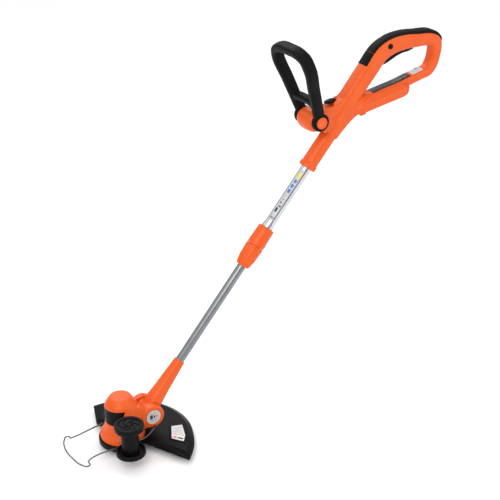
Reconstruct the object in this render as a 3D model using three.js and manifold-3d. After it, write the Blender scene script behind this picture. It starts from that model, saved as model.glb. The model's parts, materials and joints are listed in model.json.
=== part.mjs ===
// Cordless string trimmer: rear handle with battery dock, tilting assist handle, telescopic shaft
// with a twist collar, and a tilting motor head with guard, edging wheel, wire guard and line spool.
// Millimetres. The origin is on the spool's axis at the underside of the bump cap; +Z is up, +X runs
// back towards the user, and the shaft lies in the plane y = 0.
import * as THREE from "three";
import { mergeVertices } from "three/addons/utils/BufferGeometryUtils.js";
import Module from "manifold-3d";

const wasm = await Module();
wasm.setup();

// ---- driving dimensions ----
const gap = 0.3; // between touching pieces
const shaftAngle = (48.3 * Math.PI) / 180; // shaft above the ground
const tilt = { x: 63, z: 66.5, ear: 27, barrel: 23.5, halfSlot: 18.3, halfWidth: 34.7 };
const tube = { upper: 12, lower: 10, wall: 1.2 }; // outer radii
// distances along the shaft from the tilt pivot
const along = {
  lowerStart: 30,
  neckTop: 137,
  nutBottom: 393,
  nutTop: 446.7,
  upperStart: 450,
  sleeveTop: 495,
  lowerEnd: 530,
  rim: 657,
  tubePin: 725,
  upperEnd: 750,
};
const aux = { x: 514.5, z: 672.5, lean: (-17.1 * Math.PI) / 180, eye: 20.5, inner: 29.8, outer: 41 };
const trigger = { x: 785, z: 791, pin: 1.2, halfWidth: 6 };
const lockOff = { x: 715, z: 805, radius: 5.8 };
const lever = { x: 573, z: 699.5, halfWidth: 9 };
const housing = { wall: 3.5, dockWidth: 60, lip: 21.5, neck: 19.3, neckEnd: 795 };
const head = { flange: 50.2, dome: 36, top: 127, floor: 46 };
const guard = { radius: 160, tip: 178, top: 24, plate: 3, skirt: 13, hole: 44, ring: 54.5, screws: 47.3 };
const spool = { drum: 36, top: 30, line: 9 }; // line: height at which the cutting line leaves
const wheel = { x: -21.7, y: -87.3, radius: 33, bottom: 30, top: 108, pillar: 19.5 };
const wire = { radius: 1.4, halfSpan: 52.1, pivotX: 64, pivotZ: 43 };

const orange = { color: 0xf2611f, roughness: 0.42, metalness: 0 };
const black = { color: 0x17181a, roughness: 0.5, metalness: 0 };
const rubber = { color: 0x1d1e20, roughness: 0.75, metalness: 0 };
const aluminium = { color: 0xc4c7cb, roughness: 0.3, metalness: 1 };
const steel = { color: 0xaeb2b6, roughness: 0.35, metalness: 1 };
const nylon = { color: 0xd9d6cc, roughness: 0.6, metalness: 0 };

const part = new THREE.Group();

// ---- solids ----
function solid(shape) {
  if (!shape.isBufferGeometry) return shape;
  const loose = shape.index ? shape.toNonIndexed() : shape;
  const bare = new THREE.BufferGeometry().setAttribute("position", loose.getAttribute("position"));
  const merged = mergeVertices(bare, 1e-3);
  const corners = Array.from(merged.index.array);
  const kept = [];
  for (let i = 0; i < corners.length; i += 3) {
    const [a, b, c] = corners.slice(i, i + 3);
    if (a !== b && b !== c && c !== a) kept.push(a, b, c);
  }
  const build = (triangles) =>
    new wasm.Manifold(
      new wasm.Mesh({
        numProp: 3,
        vertProperties: merged.attributes.position.array,
        triVerts: new Uint32Array(triangles),
      }),
    );
  const made = build(kept);
  return made.volume() > 0 ? made : build(kept.reverse());
}

const join = (...shapes) => shapes.map(solid).reduce((a, b) => a.add(b));
const cut = (base, ...tools) => tools.map(solid).reduce((a, b) => a.subtract(b), solid(base));
const common = (a, b) => solid(a).intersect(solid(b));

// A solid turned back into a geometry
function geometryOf(shape) {
  const data = solid(shape).getMesh();
  const geometry = new THREE.BufferGeometry();
  geometry.setAttribute("position", new THREE.BufferAttribute(data.vertProperties, 3));
  geometry.setIndex(new THREE.BufferAttribute(data.triVerts, 1));
  return geometry;
}

function node(name, shape, finish) {
  const geometry = geometryOf(shape);
  geometry.computeVertexNormals();
  const mesh = new THREE.Mesh(geometry, new THREE.MeshStandardMaterial(finish));
  mesh.name = name;
  part.add(mesh);
}

// ---- primitives ----
const box = (x0, x1, y0, y1, z0, z1) =>
  new THREE.BoxGeometry(x1 - x0, y1 - y0, z1 - z0).translate((x0 + x1) / 2, (y0 + y1) / 2, (z0 + z1) / 2);

// A profile of [radius, height] points turned about the vertical line through (x, y)
function turned(profile, sides = 24, x = 0, y = 0) {
  const points = profile.map(([r, h]) => new THREE.Vector2(r, h));
  return new THREE.LatheGeometry(points, sides).rotateX(Math.PI / 2).translate(x, y, 0);
}

// A closed ring of rectangular section
const ring = (inner, outer, z0, z1, sides = 24, x = 0, y = 0) =>
  turned([[inner, z0], [outer, z0], [outer, z1], [inner, z1], [inner, z0]], sides, x, y);

function rod(from, to, radius, sides = 12) {
  const a = new THREE.Vector3(...from);
  const b = new THREE.Vector3(...to);
  const direction = b.clone().sub(a);
  const cylinder = new THREE.CylinderGeometry(radius, radius, direction.length(), sides);
  const turn = new THREE.Quaternion().setFromUnitVectors(new THREE.Vector3(0, 1, 0), direction.normalize());
  return cylinder.applyQuaternion(turn).translate(...a.add(b).multiplyScalar(0.5).toArray());
}

// A pin across the object, parallel to Y
const crossPin = (x, z, radius, y0, y1, sides = 16) => rod([x, y0, z], [x, y1, z], radius, sides);

// A closed outline of [x, y, corner] points, each corner rounded over that length of its sides
function rounded(points) {
  const shape = new THREE.Shape();
  const count = points.length;
  points.forEach(([x, y, corner = 0], i) => {
    const here = new THREE.Vector2(x, y);
    const [bx, by] = points[(i + count - 1) % count];
    const [ax, ay] = points[(i + 1) % count];
    const before = new THREE.Vector2(bx, by).sub(here);
    const after = new THREE.Vector2(ax, ay).sub(here);
    const size = Math.min(corner, 0.45 * before.length(), 0.45 * after.length());
    const start = here.clone().addScaledVector(before.normalize(), size);
    const end = here.clone().addScaledVector(after.normalize(), size);
    if (i === 0) shape.moveTo(start.x, start.y);
    else shape.lineTo(start.x, start.y);
    if (corner > 0) shape.quadraticCurveTo(x, y, end.x, end.y);
  });
  shape.closePath();
  return shape;
}

// An outline in the XZ plane made into a plate centred on y, its edges rounded by bevel
function slab(outline, width, { bevel = 0, y = 0, hole = null } = {}) {
  const shape = rounded(outline);
  if (hole) shape.holes.push(rounded(hole));
  const block = new THREE.ExtrudeGeometry(shape, {
    depth: width - 2 * bevel,
    bevelEnabled: bevel > 0,
    bevelThickness: bevel,
    bevelSize: bevel,
    bevelOffset: -bevel,
    bevelSegments: 2,
    curveSegments: 3,
  });
  return block.translate(0, 0, bevel - width / 2).rotateX(Math.PI / 2).translate(0, y, 0);
}

// An outline in the XY plane made into a plate between two heights
function plate(outline, z0, z1) {
  const flat = new THREE.ExtrudeGeometry(outline, { depth: z1 - z0, bevelEnabled: false, curveSegments: 3 });
  return flat.translate(0, 0, z0);
}

// A bar of oval section along a smooth curve through points; across is its half-width in Y on a
// curve in the plane y = 0, and deep is its half-depth in that plane
function bar(points, across, sides, steps, deep = across) {
  const corners = points.map((p) => new THREE.Vector3(...p));
  const path = new THREE.CatmullRomCurve3(corners, false, "centripetal");
  const section = new THREE.Shape();
  for (let i = 0; i < sides; i++) {
    const angle = (2 * Math.PI * i) / sides;
    const [x, y] = [across * Math.cos(angle), deep * Math.sin(angle)];
    if (i === 0) section.moveTo(x, y);
    else section.lineTo(x, y);
  }
  section.closePath();
  return new THREE.ExtrudeGeometry(section, { steps, extrudePath: path, bevelEnabled: false });
}

// ---- places along the shaft: local z runs up the shaft, local x points to its lower side ----
const shaftFrame = new THREE.Matrix4()
  .makeTranslation(tilt.x, 0, tilt.z)
  .multiply(new THREE.Matrix4().makeRotationY(Math.PI / 2 - shaftAngle));
const onShaft = (geometry) => geometry.applyMatrix4(shaftFrame);
const shaftPoint = (s, lift = 0) => [
  tilt.x + s * Math.cos(shaftAngle) - lift * Math.sin(shaftAngle),
  tilt.z + s * Math.sin(shaftAngle) + lift * Math.cos(shaftAngle),
];
const sleeve = (inner, outer, s0, s1, sides = 24) => onShaft(ring(inner, outer, s0, s1, sides));

const reach = 1200; // longer than the object
const leftSide = box(-reach, reach, -reach, -gap / 2, -reach, reach);
const rightSide = box(-reach, reach, gap / 2, reach, -reach, reach);

// ---- rear handle ----
// Centre lines of the limbs, in the plane y = 0
const gripPath = [[575, 652], [621, 707], [667, 760], [697, 792], [727, 805.5], [760, 808.5], [795, 806.5],
  [838, 801.5]];
const loopPath = [[810, 805.5], [838, 801.5], [853, 794], [857, 780], [852, 760], [845, 739], [834, 725],
  [812, 719], [785, 713], [740, 703], [690, 694]];
const bellyPath = [[560, 625], [585, 650], [615, 672], [655, 684], [705, 692]];
// The soft grip lies above this outline's lower edge
const gripEdge = [[900, 804], [850, 808], [826, 811.5], [795, 816.8], [760, 820], [723, 820], [688, 805],
  [655, 770], [600, 835], [700, 905], [900, 905]];
const dockOutline = [[620, 664], [755, 684], [764, 700], [758, 709], [738, 713], [640, 697]];
const webOutline = [[500, 690], [540, 691], [575, 693], [600, 705], [600, 650], [556, 630], [500, 650]];

// A limb of the housing along a centre line, half-sizes across and deep
const limb = (path, across, deep, steps) => bar(path.map(([x, z]) => [x, 0, z]), across, 10, steps, deep);

// The loop, grip and belly together; shrink thins every limb
const limbs = (shrink) => join(
  limb(gripPath.slice(0, 5), 20 - shrink, 21 - shrink, 7),
  limb(gripPath.slice(2), 17.5 - shrink, 20.5 - shrink, 9),
  limb(loopPath, 15.5 - shrink, 13.5 - shrink, 15),
  limb(bellyPath, 20 - shrink, 20 - shrink, 5),
);

// Radii of the housing screws and of their holes
const screw = { shank: 1.8, head: 3.6, thread: 2.1, sink: 3.9 };
const screwPlaces = [[612, 672], [668, 742], [815, 805], [760, 707]];

function housingSolid() {
  const { lip, neck, neckEnd } = housing;
  const neckShell = onShaft(turned([[0, along.rim], [lip, along.rim], [lip, along.rim + 9], [neck, along.rim + 15],
    [neck, neckEnd], [0, neckEnd]]));
  const face = aux.inner - gap;
  const drumProfile = [[0, -face], [19.5, -face], [24, 8 - face], [25.5, -8], [25.5, 8], [24, face - 8],
    [19.5, face], [0, face]];
  const drum = turned(drumProfile, 20).rotateX(Math.PI / 2).translate(aux.x - 1.5, 0, aux.z - 2);
  const outside = join(
    limbs(0),
    neckShell,
    drum,
    slab(webOutline, 36, { bevel: 5 }),
    slab(dockOutline, housing.dockWidth, { bevel: 5 }),
  );
  const dockPocket = join(
    slab([[650, 640], [752, 650.3], [747, 700], [650, 690]], housing.dockWidth - 8),
    rod([668, 0, 688], [630, 0, 718], 4.5, 10),
  );
  const bosses = screwPlaces.map(([x, z]) => crossPin(x, z, 5, -18, 18, 12));
  const screwHoles = screwPlaces.map(([x, z]) =>
    join(crossPin(x, z, screw.thread, -12, 30, 12), crossPin(x, z, screw.sink, 13.4, 40, 12)));
  const hollow = cut(
    outside,
    cut(limbs(housing.wall), ...bosses),
    dockPocket,
    onShaft(turned([[0, along.rim - 5], [tube.upper + gap, along.rim - 5], [tube.upper + gap, 775], [0, 775]])),
    ...screwHoles,
  );
  const railOutline = [[651, 671], [743, 684.6], [743, 689], [651, 675.4]];
  const rails = join(
    slab(railOutline, 3.2, { y: -24.6 }),
    slab(railOutline, 3.2, { y: 24.6 }),
  );
  return cut(
    join(hollow, rails),
    slab([[698, 750], [794, 750], [794, 795.6], [698, 793]], 2 * trigger.halfWidth + 1),
    crossPin(trigger.x, trigger.z, trigger.pin + gap, -10.3, 10.3, 10),
    crossPin(lockOff.x, lockOff.z, lockOff.radius + gap, -40, 40, 20),
    slab([[540, 692.6], [560, 693], [579, 695], [590, 715], [540, 715]], 2 * lever.halfWidth + 1),
    crossPin(lever.x, lever.z, 2 + gap, -13, 13, 12),
    crossPin(aux.x, aux.z, 4 + gap, -40, 40, 16),
    crossPin(...shaftPoint(along.tubePin), 2 + gap, -15, 15, 12),
  );
}

function buildHousing() {
  const whole = housingSolid();
  node("housing_left", common(whole, leftSide), orange);
  node("housing_right", common(whole, rightSide), orange);
  screwPlaces.forEach(([x, z], i) => {
    const made = join(crossPin(x, z, screw.shank, -8, 14, 10), crossPin(x, z, screw.head, 13.8, 16.5, 12));
    node(`housing_screw_${i + 1}`, made, steel);
  });
}

function buildGrip() {
  const skin = join(
    limb(gripPath.slice(0, 5), 22, 23, 7),
    limb([...gripPath.slice(2), [850, 798.5]], 19.8, 22.8, 10),
    limb(loopPath.slice(0, 5), 17.8, 15.8, 8),
  );
  const shell = common(cut(skin, limbs(-gap)), slab(gripEdge, 80));
  const seam = [[620, 810], [669, 802], [700, 770], [700, 740], [620, 740]];
  const grown = [[620, 810.4], [669.2, 802.4], [700.4, 770.2], [700.4, 739], [619, 739]];
  node("grip_nose", common(shell, slab(seam, 80)), black);
  node("grip_overmold", cut(shell, slab(grown, 80)), rubber);
}

function buildTrigger() {
  const blade = slab(
    [[702, 777, 3], [704, 761.5, 4], [716, 763, 5], [732, 772, 8], [752, 776, 8], [784, 779, 3], [791, 783, 3],
      [791, 794.4, 2], [779, 794.4, 2], [756, 788, 4], [728, 784.5, 4]],
    2 * trigger.halfWidth,
  );
  node("trigger", cut(blade, crossPin(trigger.x, trigger.z, trigger.pin + gap, -10, 10, 10)), black);
  node("trigger_pin", crossPin(trigger.x, trigger.z, trigger.pin, -10, 10, 10), steel);
  node("trigger_spring", rod([750, 0, 789.6], [750, 0, 817.6], 3, 10), steel);
  node("lock_off_button", crossPin(lockOff.x, lockOff.z, lockOff.radius, -21, 21, 20), black);
  node("switch_module", box(766, 800, -6.5, 6.5, 796, 813), black);
}

function buildDockParts() {
  const blades = [-12, 0, 12].map((y) => box(673, 694, y - 0.5, y + 0.5, 676, 686));
  node("terminal_block", join(box(652, 674, -18, 18, 671, 690), ...blades), black);
  const route = [[661, 0, 691.6], [652, 0, 699], [637, 0, 712], [660, 4, 751], [692, 9, 781], [715, 9.5, 794],
    [742, 8, 806], [762.5, 6.5, 810]];
  node("switch_lead", bar(route, 2, 8, 24), rubber);
}

// ---- assist handle ----
const auxFrame = new THREE.Matrix4()
  .makeTranslation(aux.x, 0, aux.z)
  .multiply(new THREE.Matrix4().makeRotationY(aux.lean));

function buildAssistHandle() {
  const path = [[0, -35.5, 8], [0, -39, 28], [0, -50, 90], [0, -58, 138], [0, -50, 162], [0, -32, 171],
    [0, 0, 173.5], [0, 42, 170], [0, 62, 160], [0, 70, 138], [0, 56, 90], [0, 40, 28], [0, 35.5, 8]];
  const eyes = [-1, 1].map((side) => {
    const [a, b] = side < 0 ? [-aux.outer, -aux.inner] : [aux.inner, aux.outer];
    return crossPin(0, 0, aux.eye, a, b, 24);
  });
  const bail = join(bar(path, 13.5, 10, 24), rod([0, -43, 50], [0, 45, 50], 9.5, 10), ...eyes);
  const bore = crossPin(0, 0, 9, -60, 60, 16);
  const between = crossPin(0, 0, 34, -aux.inner, aux.inner, 24);
  const outside = [-1, 1].map((side) => {
    const [a, b] = side < 0 ? [-90, -aux.outer] : [aux.outer, 90];
    return crossPin(0, 0, 22, a, b, 24);
  });
  const shaped = cut(bail, bore, between, ...outside);
  node("aux_handle", geometryOf(shaped).applyMatrix4(auxFrame), rubber);
  [["left", -1], ["right", 1]].forEach(([name, side]) => {
    const face = aux.outer + gap;
    const knob = crossPin(aux.x, aux.z, 13.3, side * face, side * (face + 3), 20);
    const stem = crossPin(aux.x, aux.z, 8.6, side * (aux.inner + 0.2), side * (face + 1), 16);
    node(`pivot_cap_${name}`, join(knob, stem), orange);
  });
  node("pivot_bolt", crossPin(aux.x, aux.z, 4, -aux.inner, aux.inner, 12), steel);
  const paddleOutline = [[548, 700, 3], [552, 706, 3], [570, 708.5, 4], [580, 704, 3], [577, 697, 3],
    [560, 696, 3]];
  const paddle = slab(paddleOutline, 2 * lever.halfWidth);
  node("lock_lever", cut(paddle, crossPin(lever.x, lever.z, 2 + gap, -20, 20, 12)), black);
  node("lever_pin", crossPin(lever.x, lever.z, 2, -12.5, 12.5, 10), steel);
}

// ---- telescopic shaft ----
function buildShaft() {
  const pinHole = crossPin(...shaftPoint(along.tubePin), 2 + gap, -30, 30, 12);
  const upper = sleeve(tube.upper - tube.wall, tube.upper, along.upperStart, along.upperEnd, 28);
  node("upper_tube", cut(upper, pinHole), aluminium);
  node("tube_pin", crossPin(...shaftPoint(along.tubePin), 2, -14.5, 14.5, 10), steel);
  const lower = sleeve(tube.lower - tube.wall, tube.lower, along.lowerStart, along.lowerEnd, 28);
  node("lower_tube", lower, aluminium);
  node("slide_bush", sleeve(6, 10.4, along.lowerEnd + gap, along.lowerEnd + 11, 20), nylon);
  node("coiled_lead", sleeve(4, 7, 546, 700, 12), rubber);
  const leadPath = [26, 280, 545].map((s) => {
    const [x, z] = shaftPoint(s);
    return [x, 0, z];
  });
  node("motor_lead", bar(leadPath, 2.5, 8, 24), rubber);
}

function buildCollar() {
  const bore = tube.upper + gap;
  const upper = turned([
    [bore, along.nutTop + gap],
    [20.9, along.nutTop + gap],
    [20.9, along.nutTop + 5],
    [20, 468],
    [19.6, 491],
    [18.4, along.sleeveTop],
    [bore, along.sleeveTop],
    [bore, along.nutTop + gap],
  ]);
  const nut = turned([
    [tube.lower + 0.4, along.nutBottom],
    [15, along.nutBottom],
    [16, along.nutBottom + 2],
    [19.6, 413],
    [20.9, 440],
    [20.9, along.nutTop],
    [bore, along.nutTop],
    [bore, 424.7],
    [tube.lower + 0.4, 424.7],
    [tube.lower + 0.4, along.nutBottom],
  ]);
  const flutes = [];
  for (let i = 0; i < 8; i++) {
    const angle = (Math.PI * i) / 4;
    const [x, y] = [22.6 * Math.cos(angle), 22.6 * Math.sin(angle)];
    flutes.push(onShaft(rod([x, y, 408], [x, y, 436], 3, 8)));
  }
  node("collar_sleeve", onShaft(upper), orange);
  node("collar_nut", cut(onShaft(nut), ...flutes), orange);
  node("collet", sleeve(tube.lower + gap, tube.upper, 425, along.upperStart - gap, 20), nylon);
}

// ---- lower neck ----
function buildNeck() {
  const cone = onShaft(turned([[0, 8], [21, 8], [21.5, 30], [18.5, 58], [15, 110], [13.2, along.neckTop],
    [0, along.neckTop]]));
  const barrel = crossPin(tilt.x, tilt.z, tilt.barrel, -tilt.halfSlot + gap, tilt.halfSlot - gap, 28);
  const earRoom = [-1, 1].map((side) =>
    crossPin(tilt.x, tilt.z, tilt.ear + 0.6, side * (tilt.halfSlot - gap), side * 60, 28));
  const screwPlace = shaftPoint(13, -13);
  const whole = cut(
    join(cone, barrel),
    ...earRoom,
    onShaft(turned([[0, along.lowerStart - gap], [10.3, along.lowerStart - gap], [10.3, 140], [0, 140]])),
    onShaft(turned([[0, 12], [3.2, 12], [3.2, 31], [0, 31]], 12)),
    crossPin(tilt.x, tilt.z, 4 + gap, -40, 40, 16),
    crossPin(...screwPlace, screw.thread, -14, 30, 10),
    crossPin(...screwPlace, screw.sink, 14, 30, 12),
    slab([[40, 40], [tilt.x - 4, 40], [tilt.x - 4, tilt.z - 18], [40, tilt.z - 10]], 6),
  );
  node("neck_left", common(whole, leftSide), orange);
  node("neck_right", common(whole, rightSide), orange);
  const shank = crossPin(...screwPlace, screw.shank, -13, 15, 10);
  node("neck_screw", join(shank, crossPin(...screwPlace, screw.head, 14.3, 17.4, 12)), steel);
}

// ---- head ----
function headSolid() {
  const pod = turned([
    [0, guard.top + gap],
    [head.flange, guard.top + gap],
    [head.flange, 38],
    [48, 42],
    [44.5, 54],
    [39.5, 64],
    [36.8, 68],
    [head.dome, 105],
    [34, 112],
    [23, head.top],
    [0, head.top],
  ], 28);
  const bridge = slab([[0, 40], [0, 106], [30, 103], [50, 90], [66, 72], [66, 40]],
    2 * tilt.halfWidth - 8, { bevel: 6 });
  const ears = crossPin(tilt.x, tilt.z, tilt.ear, -tilt.halfWidth, tilt.halfWidth, 32);
  const neckRoom = join(
    crossPin(tilt.x, tilt.z, tilt.barrel + 0.6, -tilt.halfSlot, tilt.halfSlot, 28),
    slab([[tilt.x, tilt.z], [42, 76], [42, 140], [140, 140], [140, 40.5], [tilt.x, 41.5]], 2 * tilt.halfSlot),
  );
  return cut(join(pod, bridge, ears), neckRoom);
}

function buildHead() {
  const motorRoom = turned([[0, head.floor], [29.5, head.floor], [29.5, 109], [20, 119], [0, 119]]);
  const spoolRoom = turned([[0, 10], [guard.hole, 10], [guard.hole, 36], [0, 36]]);
  const shaftHole = turned([[0, 30], [4.5, 30], [4.5, 50], [0, 50]], 12);
  const ventRecess = ventSector(32.4 - gap, 40, 68 - gap, 105 + gap, 1);
  const capRecess = [-1, 1].map((side) => crossPin(tilt.x, tilt.z, 20.3, side * 31.4, side * 40, 24));
  const wireHoles = [-1, 1].map((side) =>
    crossPin(wire.pivotX, wire.pivotZ, wire.radius + 1, side * 26, side * 40, 10));
  const leadHole = rod([26, 0, 60], [45, 0, 60], 3, 8);
  const whole = cut(headSolid(), motorRoom, spoolRoom, shaftHole, ventRecess, ...capRecess, ...wireHoles,
    ...guardHoles(20, 35), leadHole, crossPin(tilt.x, tilt.z, 4 + gap, -33, 33, 16));
  node("head_left", common(whole, leftSide), orange);
  node("head_right", common(whole, rightSide), orange);
  node("vent_panel", ventSector(32.4, 36.6, 68, 105, 0), black);
  const base = head.floor + gap;
  const motor = turned([[0, base], [18.5, base], [18.5, 100], [9, 101], [9, 104], [0, 104]]);
  node("motor", motor, steel);
  node("tilt_pin", crossPin(tilt.x, tilt.z, 4, -31, 31, 12), steel);
  [["left", -1], ["right", 1]].forEach(([name, side]) => {
    node(`tilt_cap_${name}`, crossPin(tilt.x, tilt.z, 20, side * (31.4 + gap), side * 35.3, 24), orange);
  });
}

// The part of a ring that faces forward, spanning 80 degrees each side of -X
function ventSector(inner, outer, z0, z1, extra) {
  const span = ((80 + extra) * Math.PI) / 180;
  const far = 60;
  const wedge = new THREE.Shape();
  wedge.moveTo(0, 0);
  for (let i = 0; i <= 8; i++) {
    const angle = Math.PI - span + (span * i) / 4;
    wedge.lineTo(far * Math.cos(angle), far * Math.sin(angle));
  }
  wedge.closePath();
  return common(ring(inner, outer, z0, z1, 36), plate(wedge, z0 - 1, z1 + 1));
}

// ---- guard ----
const guardScrewPlaces = [1.05, -2.6].map((a) => [guard.screws * Math.cos(a), guard.screws * Math.sin(a)]);
const guardHoles = (z0, z1) => guardScrewPlaces.map(([x, y]) => rod([x, y, z0], [x, y, z1], 1.9, 8));

// The guard's rim radius at an angle: round at the back, reaching further out at the near tip
function guardRadius(angle) {
  const spread = Math.max(0, -angle - 0.35);
  return guard.radius - 2 + (guard.tip - guard.radius + 2) * Math.min(1, (spread / 0.72) ** 1.6);
}

function guardFan(inset) {
  const [first, last] = [-1.08, 1.58];
  const outline = new THREE.Shape();
  outline.moveTo(-0.6 * guard.hole, -0.75 * guard.hole);
  outline.lineTo(34, -49);
  for (let i = 0; i <= 24; i++) {
    const angle = first + ((last - first) * i) / 24;
    const r = guardRadius(angle) - inset;
    outline.lineTo(r * Math.cos(angle), r * Math.sin(angle));
  }
  outline.lineTo(-51, 17);
  outline.closePath();
  return outline;
}

// The guard's outer body: a flat top whose edges slope down to the full outline
function guardBody(inset, top) {
  const body = new THREE.ExtrudeGeometry(guardFan(inset), {
    depth: 2,
    bevelSize: 13,
    bevelOffset: -13,
    bevelThickness: 9,
    bevelSegments: 1,
    curveSegments: 3,
  });
  return body.translate(0, 0, top - 11);
}

function buildGuard() {
  const { top, skirt, hole } = guard;
  const under = top - guard.plate;
  const cover = common(cut(guardBody(0, top), guardBody(3, under)), box(-reach, reach, -reach, reach, skirt, top));
  const padOutline = rounded([[98, -54, 6], [117, -22, 6], [140, -30, 8], [124, -88, 10], [106, -84, 6]]);
  const pad = plate(padOutline, top - 1, top + 2);
  const collar = join(ring(hole, guard.ring, under, top, 28), ring(guard.ring - 3, guard.ring, skirt, top, 28));
  const opening = turned([[0, 0], [hole, 0], [hole, 40], [0, 40]], 28);
  const whole = cut(join(cover, pad, collar), opening, ...guardHoles(10, 30));
  node("guard", whole, black);
  guardScrewPlaces.forEach(([x, y], i) => {
    const made = join(rod([x, y, 19], [x, y, 34], 1.6, 8), rod([x, y, 18.5], [x, y, under - gap], 3, 10));
    node(`guard_screw_${i + 1}`, made, steel);
  });
  const blade = new THREE.BoxGeometry(10, 18, 1.2).translate(143.5, 0, under - gap - 0.6).rotateZ(-0.85);
  node("cutter_blade", blade, steel);
}

// ---- spool ----
function buildSpool() {
  const { drum, top, line } = spool;
  node("motor_shaft", rod([0, 0, 12], [0, 0, head.floor], 2.4, 12), steel);
  const shell = turned([[2.7, top], [2.7, 26], [drum - 3, 26], [drum - 3, 5], [drum, 5], [drum, top - 2],
    [drum - 3, top], [2.7, top]], 28);
  node("spool_drum", cut(shell, rod([20, 0, line], [50, 0, line], 2.6, 10)), black);
  const reel = turned([[4, 20], [4, 6], [30.5, 6], [30.5, 8], [16, 8], [16, 16], [30.5, 16], [30.5, 18],
    [12, 18], [12, 20], [4, 20]], 24);
  node("spool", reel, nylon);
  node("wound_line", ring(16 + gap, 27, 8 + gap, 16 - gap, 24), orange);
  node("spool_spring", ring(6, 10, 20 + gap, 25.7, 12), steel);
  const cap = turned([[0, 0], [14, 0], [17, 2], [17, 3], [31.5, 3], [31.5, 5.7], [3, 5.7], [3, 8],
    [0, 8]], 28);
  node("spool_cap", cap, black);
  const eyelet = cut(rod([31.9, 0, line], [38, 0, line], 2.3, 10), rod([28, 0, line], [40, 0, line], 1.3, 8));
  node("line_eyelet", eyelet, steel);
  node("line_tail", rod([32.2, 0, line], [138, 0, line], 1, 6), orange);
}

// ---- edging wheel ----
function buildWheel() {
  const { x, y, radius, bottom, top, pillar } = wheel;
  const arm = new THREE.BoxGeometry(40, 20, 20)
    .translate(head.dome + 1.2 + 20, 0, 80)
    .rotateZ(Math.atan2(y, x));
  const column = turned([[0, bottom + 5], [pillar, bottom + 5], [pillar, top - 15], [0, top - 15]], 28, x, y);
  const domeRoom = turned([[0, 60], [head.dome + 1.2, 60], [head.dome + 1.2, 112], [0, 112]], 36);
  const bore = turned([[0, 20], [4.4, 20], [4.4, 110], [0, 110]], 16, x, y);
  node("wheel_bracket", cut(join(column, arm), domeRoom, bore), black);
  node("wheel_axle", rod([x, y, bottom + 2], [x, y, top - 7], 4, 12), steel);
  node("wheel_top", turned([
    [0, top - 6], [4.3, top - 6], [4.3, top - 14.6], [29, top - 14.6], [radius, top - 11.5],
    [radius, top - 2.5], [radius - 2.5, top], [26, top], [24.5, top - 2], [0, top - 2],
  ], 24, x, y), black);
  const hub = turned([
    [4.3, bottom], [30, bottom], [radius, bottom + 2.5], [radius, bottom + 9], [radius - 2.5, bottom + 12],
    [23, bottom + 12], [23, bottom + 4.5], [4.3, bottom + 4.5], [4.3, bottom],
  ], 24, x, y);
  node("wheel_bottom", hub, black);
  node("wheel_nut", ring(4.3, 8, bottom - 3.3, bottom - gap, 6, x, y), steel);
}

// ---- wire guard ----
function buildWireGuard() {
  const { halfSpan, pivotX, pivotZ } = wire;
  const side = (s) => [
    [pivotX, s * 29, pivotZ],
    [pivotX, s * 35.8, pivotZ],
    [pivotX - 2, s * 38.6, pivotZ - 0.5],
    [50, s * 45, 38],
    [32, s * 51.5, 33.5],
    [12, s * halfSpan, 32],
    [-35, s * halfSpan, 32],
    [-103 + s, s * 50, 25],
    [-107 + 2 * s, s * 51.5 - 1, 24.5],
    [-110 + 3 * s, s * 63.5 - 4, 24],
    [-115.5 + 3 * s, s * 65.5 - 4, 24],
    [-125.5 + 3 * s, s * 53 - 3, 24],
    [-134.5 + s, s * 25, 24],
  ];
  const path = [...side(-1), ...side(1).reverse()];
  node("wire_guard", bar(path, wire.radius, 6, 64), steel);
}

buildHousing();
buildGrip();
buildTrigger();
buildDockParts();
buildAssistHandle();
buildShaft();
buildCollar();
buildNeck();
buildHead();
buildGuard();
buildSpool();
buildWheel();
buildWireGuard();

export default part;
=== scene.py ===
# String trimmer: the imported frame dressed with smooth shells, soft grips, tubes, guard, wheel and stickers.
# Sizes are millimetres in the frame's own axes; meshes are written in metres.
import json
import math
import bpy
import numpy as np
from mathutils import Matrix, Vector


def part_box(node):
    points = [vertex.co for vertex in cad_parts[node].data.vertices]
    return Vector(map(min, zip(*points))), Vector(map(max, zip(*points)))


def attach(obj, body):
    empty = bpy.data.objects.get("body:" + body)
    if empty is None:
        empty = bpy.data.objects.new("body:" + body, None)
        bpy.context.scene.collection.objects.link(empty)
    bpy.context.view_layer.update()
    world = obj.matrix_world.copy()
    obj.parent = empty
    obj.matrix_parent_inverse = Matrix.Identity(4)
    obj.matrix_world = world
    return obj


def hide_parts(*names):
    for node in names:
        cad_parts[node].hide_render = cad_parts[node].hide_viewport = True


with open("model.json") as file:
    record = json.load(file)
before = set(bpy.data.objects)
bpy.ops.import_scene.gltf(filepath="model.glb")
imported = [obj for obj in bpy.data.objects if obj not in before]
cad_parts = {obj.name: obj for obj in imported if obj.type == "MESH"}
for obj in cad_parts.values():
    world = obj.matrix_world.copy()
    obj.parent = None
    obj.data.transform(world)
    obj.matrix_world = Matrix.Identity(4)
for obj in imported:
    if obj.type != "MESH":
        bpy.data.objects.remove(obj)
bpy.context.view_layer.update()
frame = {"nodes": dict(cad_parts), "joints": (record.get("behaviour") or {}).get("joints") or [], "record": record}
mm = 0.001
joints = {j["name"]: j for j in frame["joints"]}
print("frame loaded:", len(frame["nodes"]), "nodes")


def jointPoint(name):
    return np.array(joints[name]["pos_m"]) / mm


def axes(origin, right, side, up):
    return np.array(origin, float), np.array([right, side, up], float)


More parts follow.
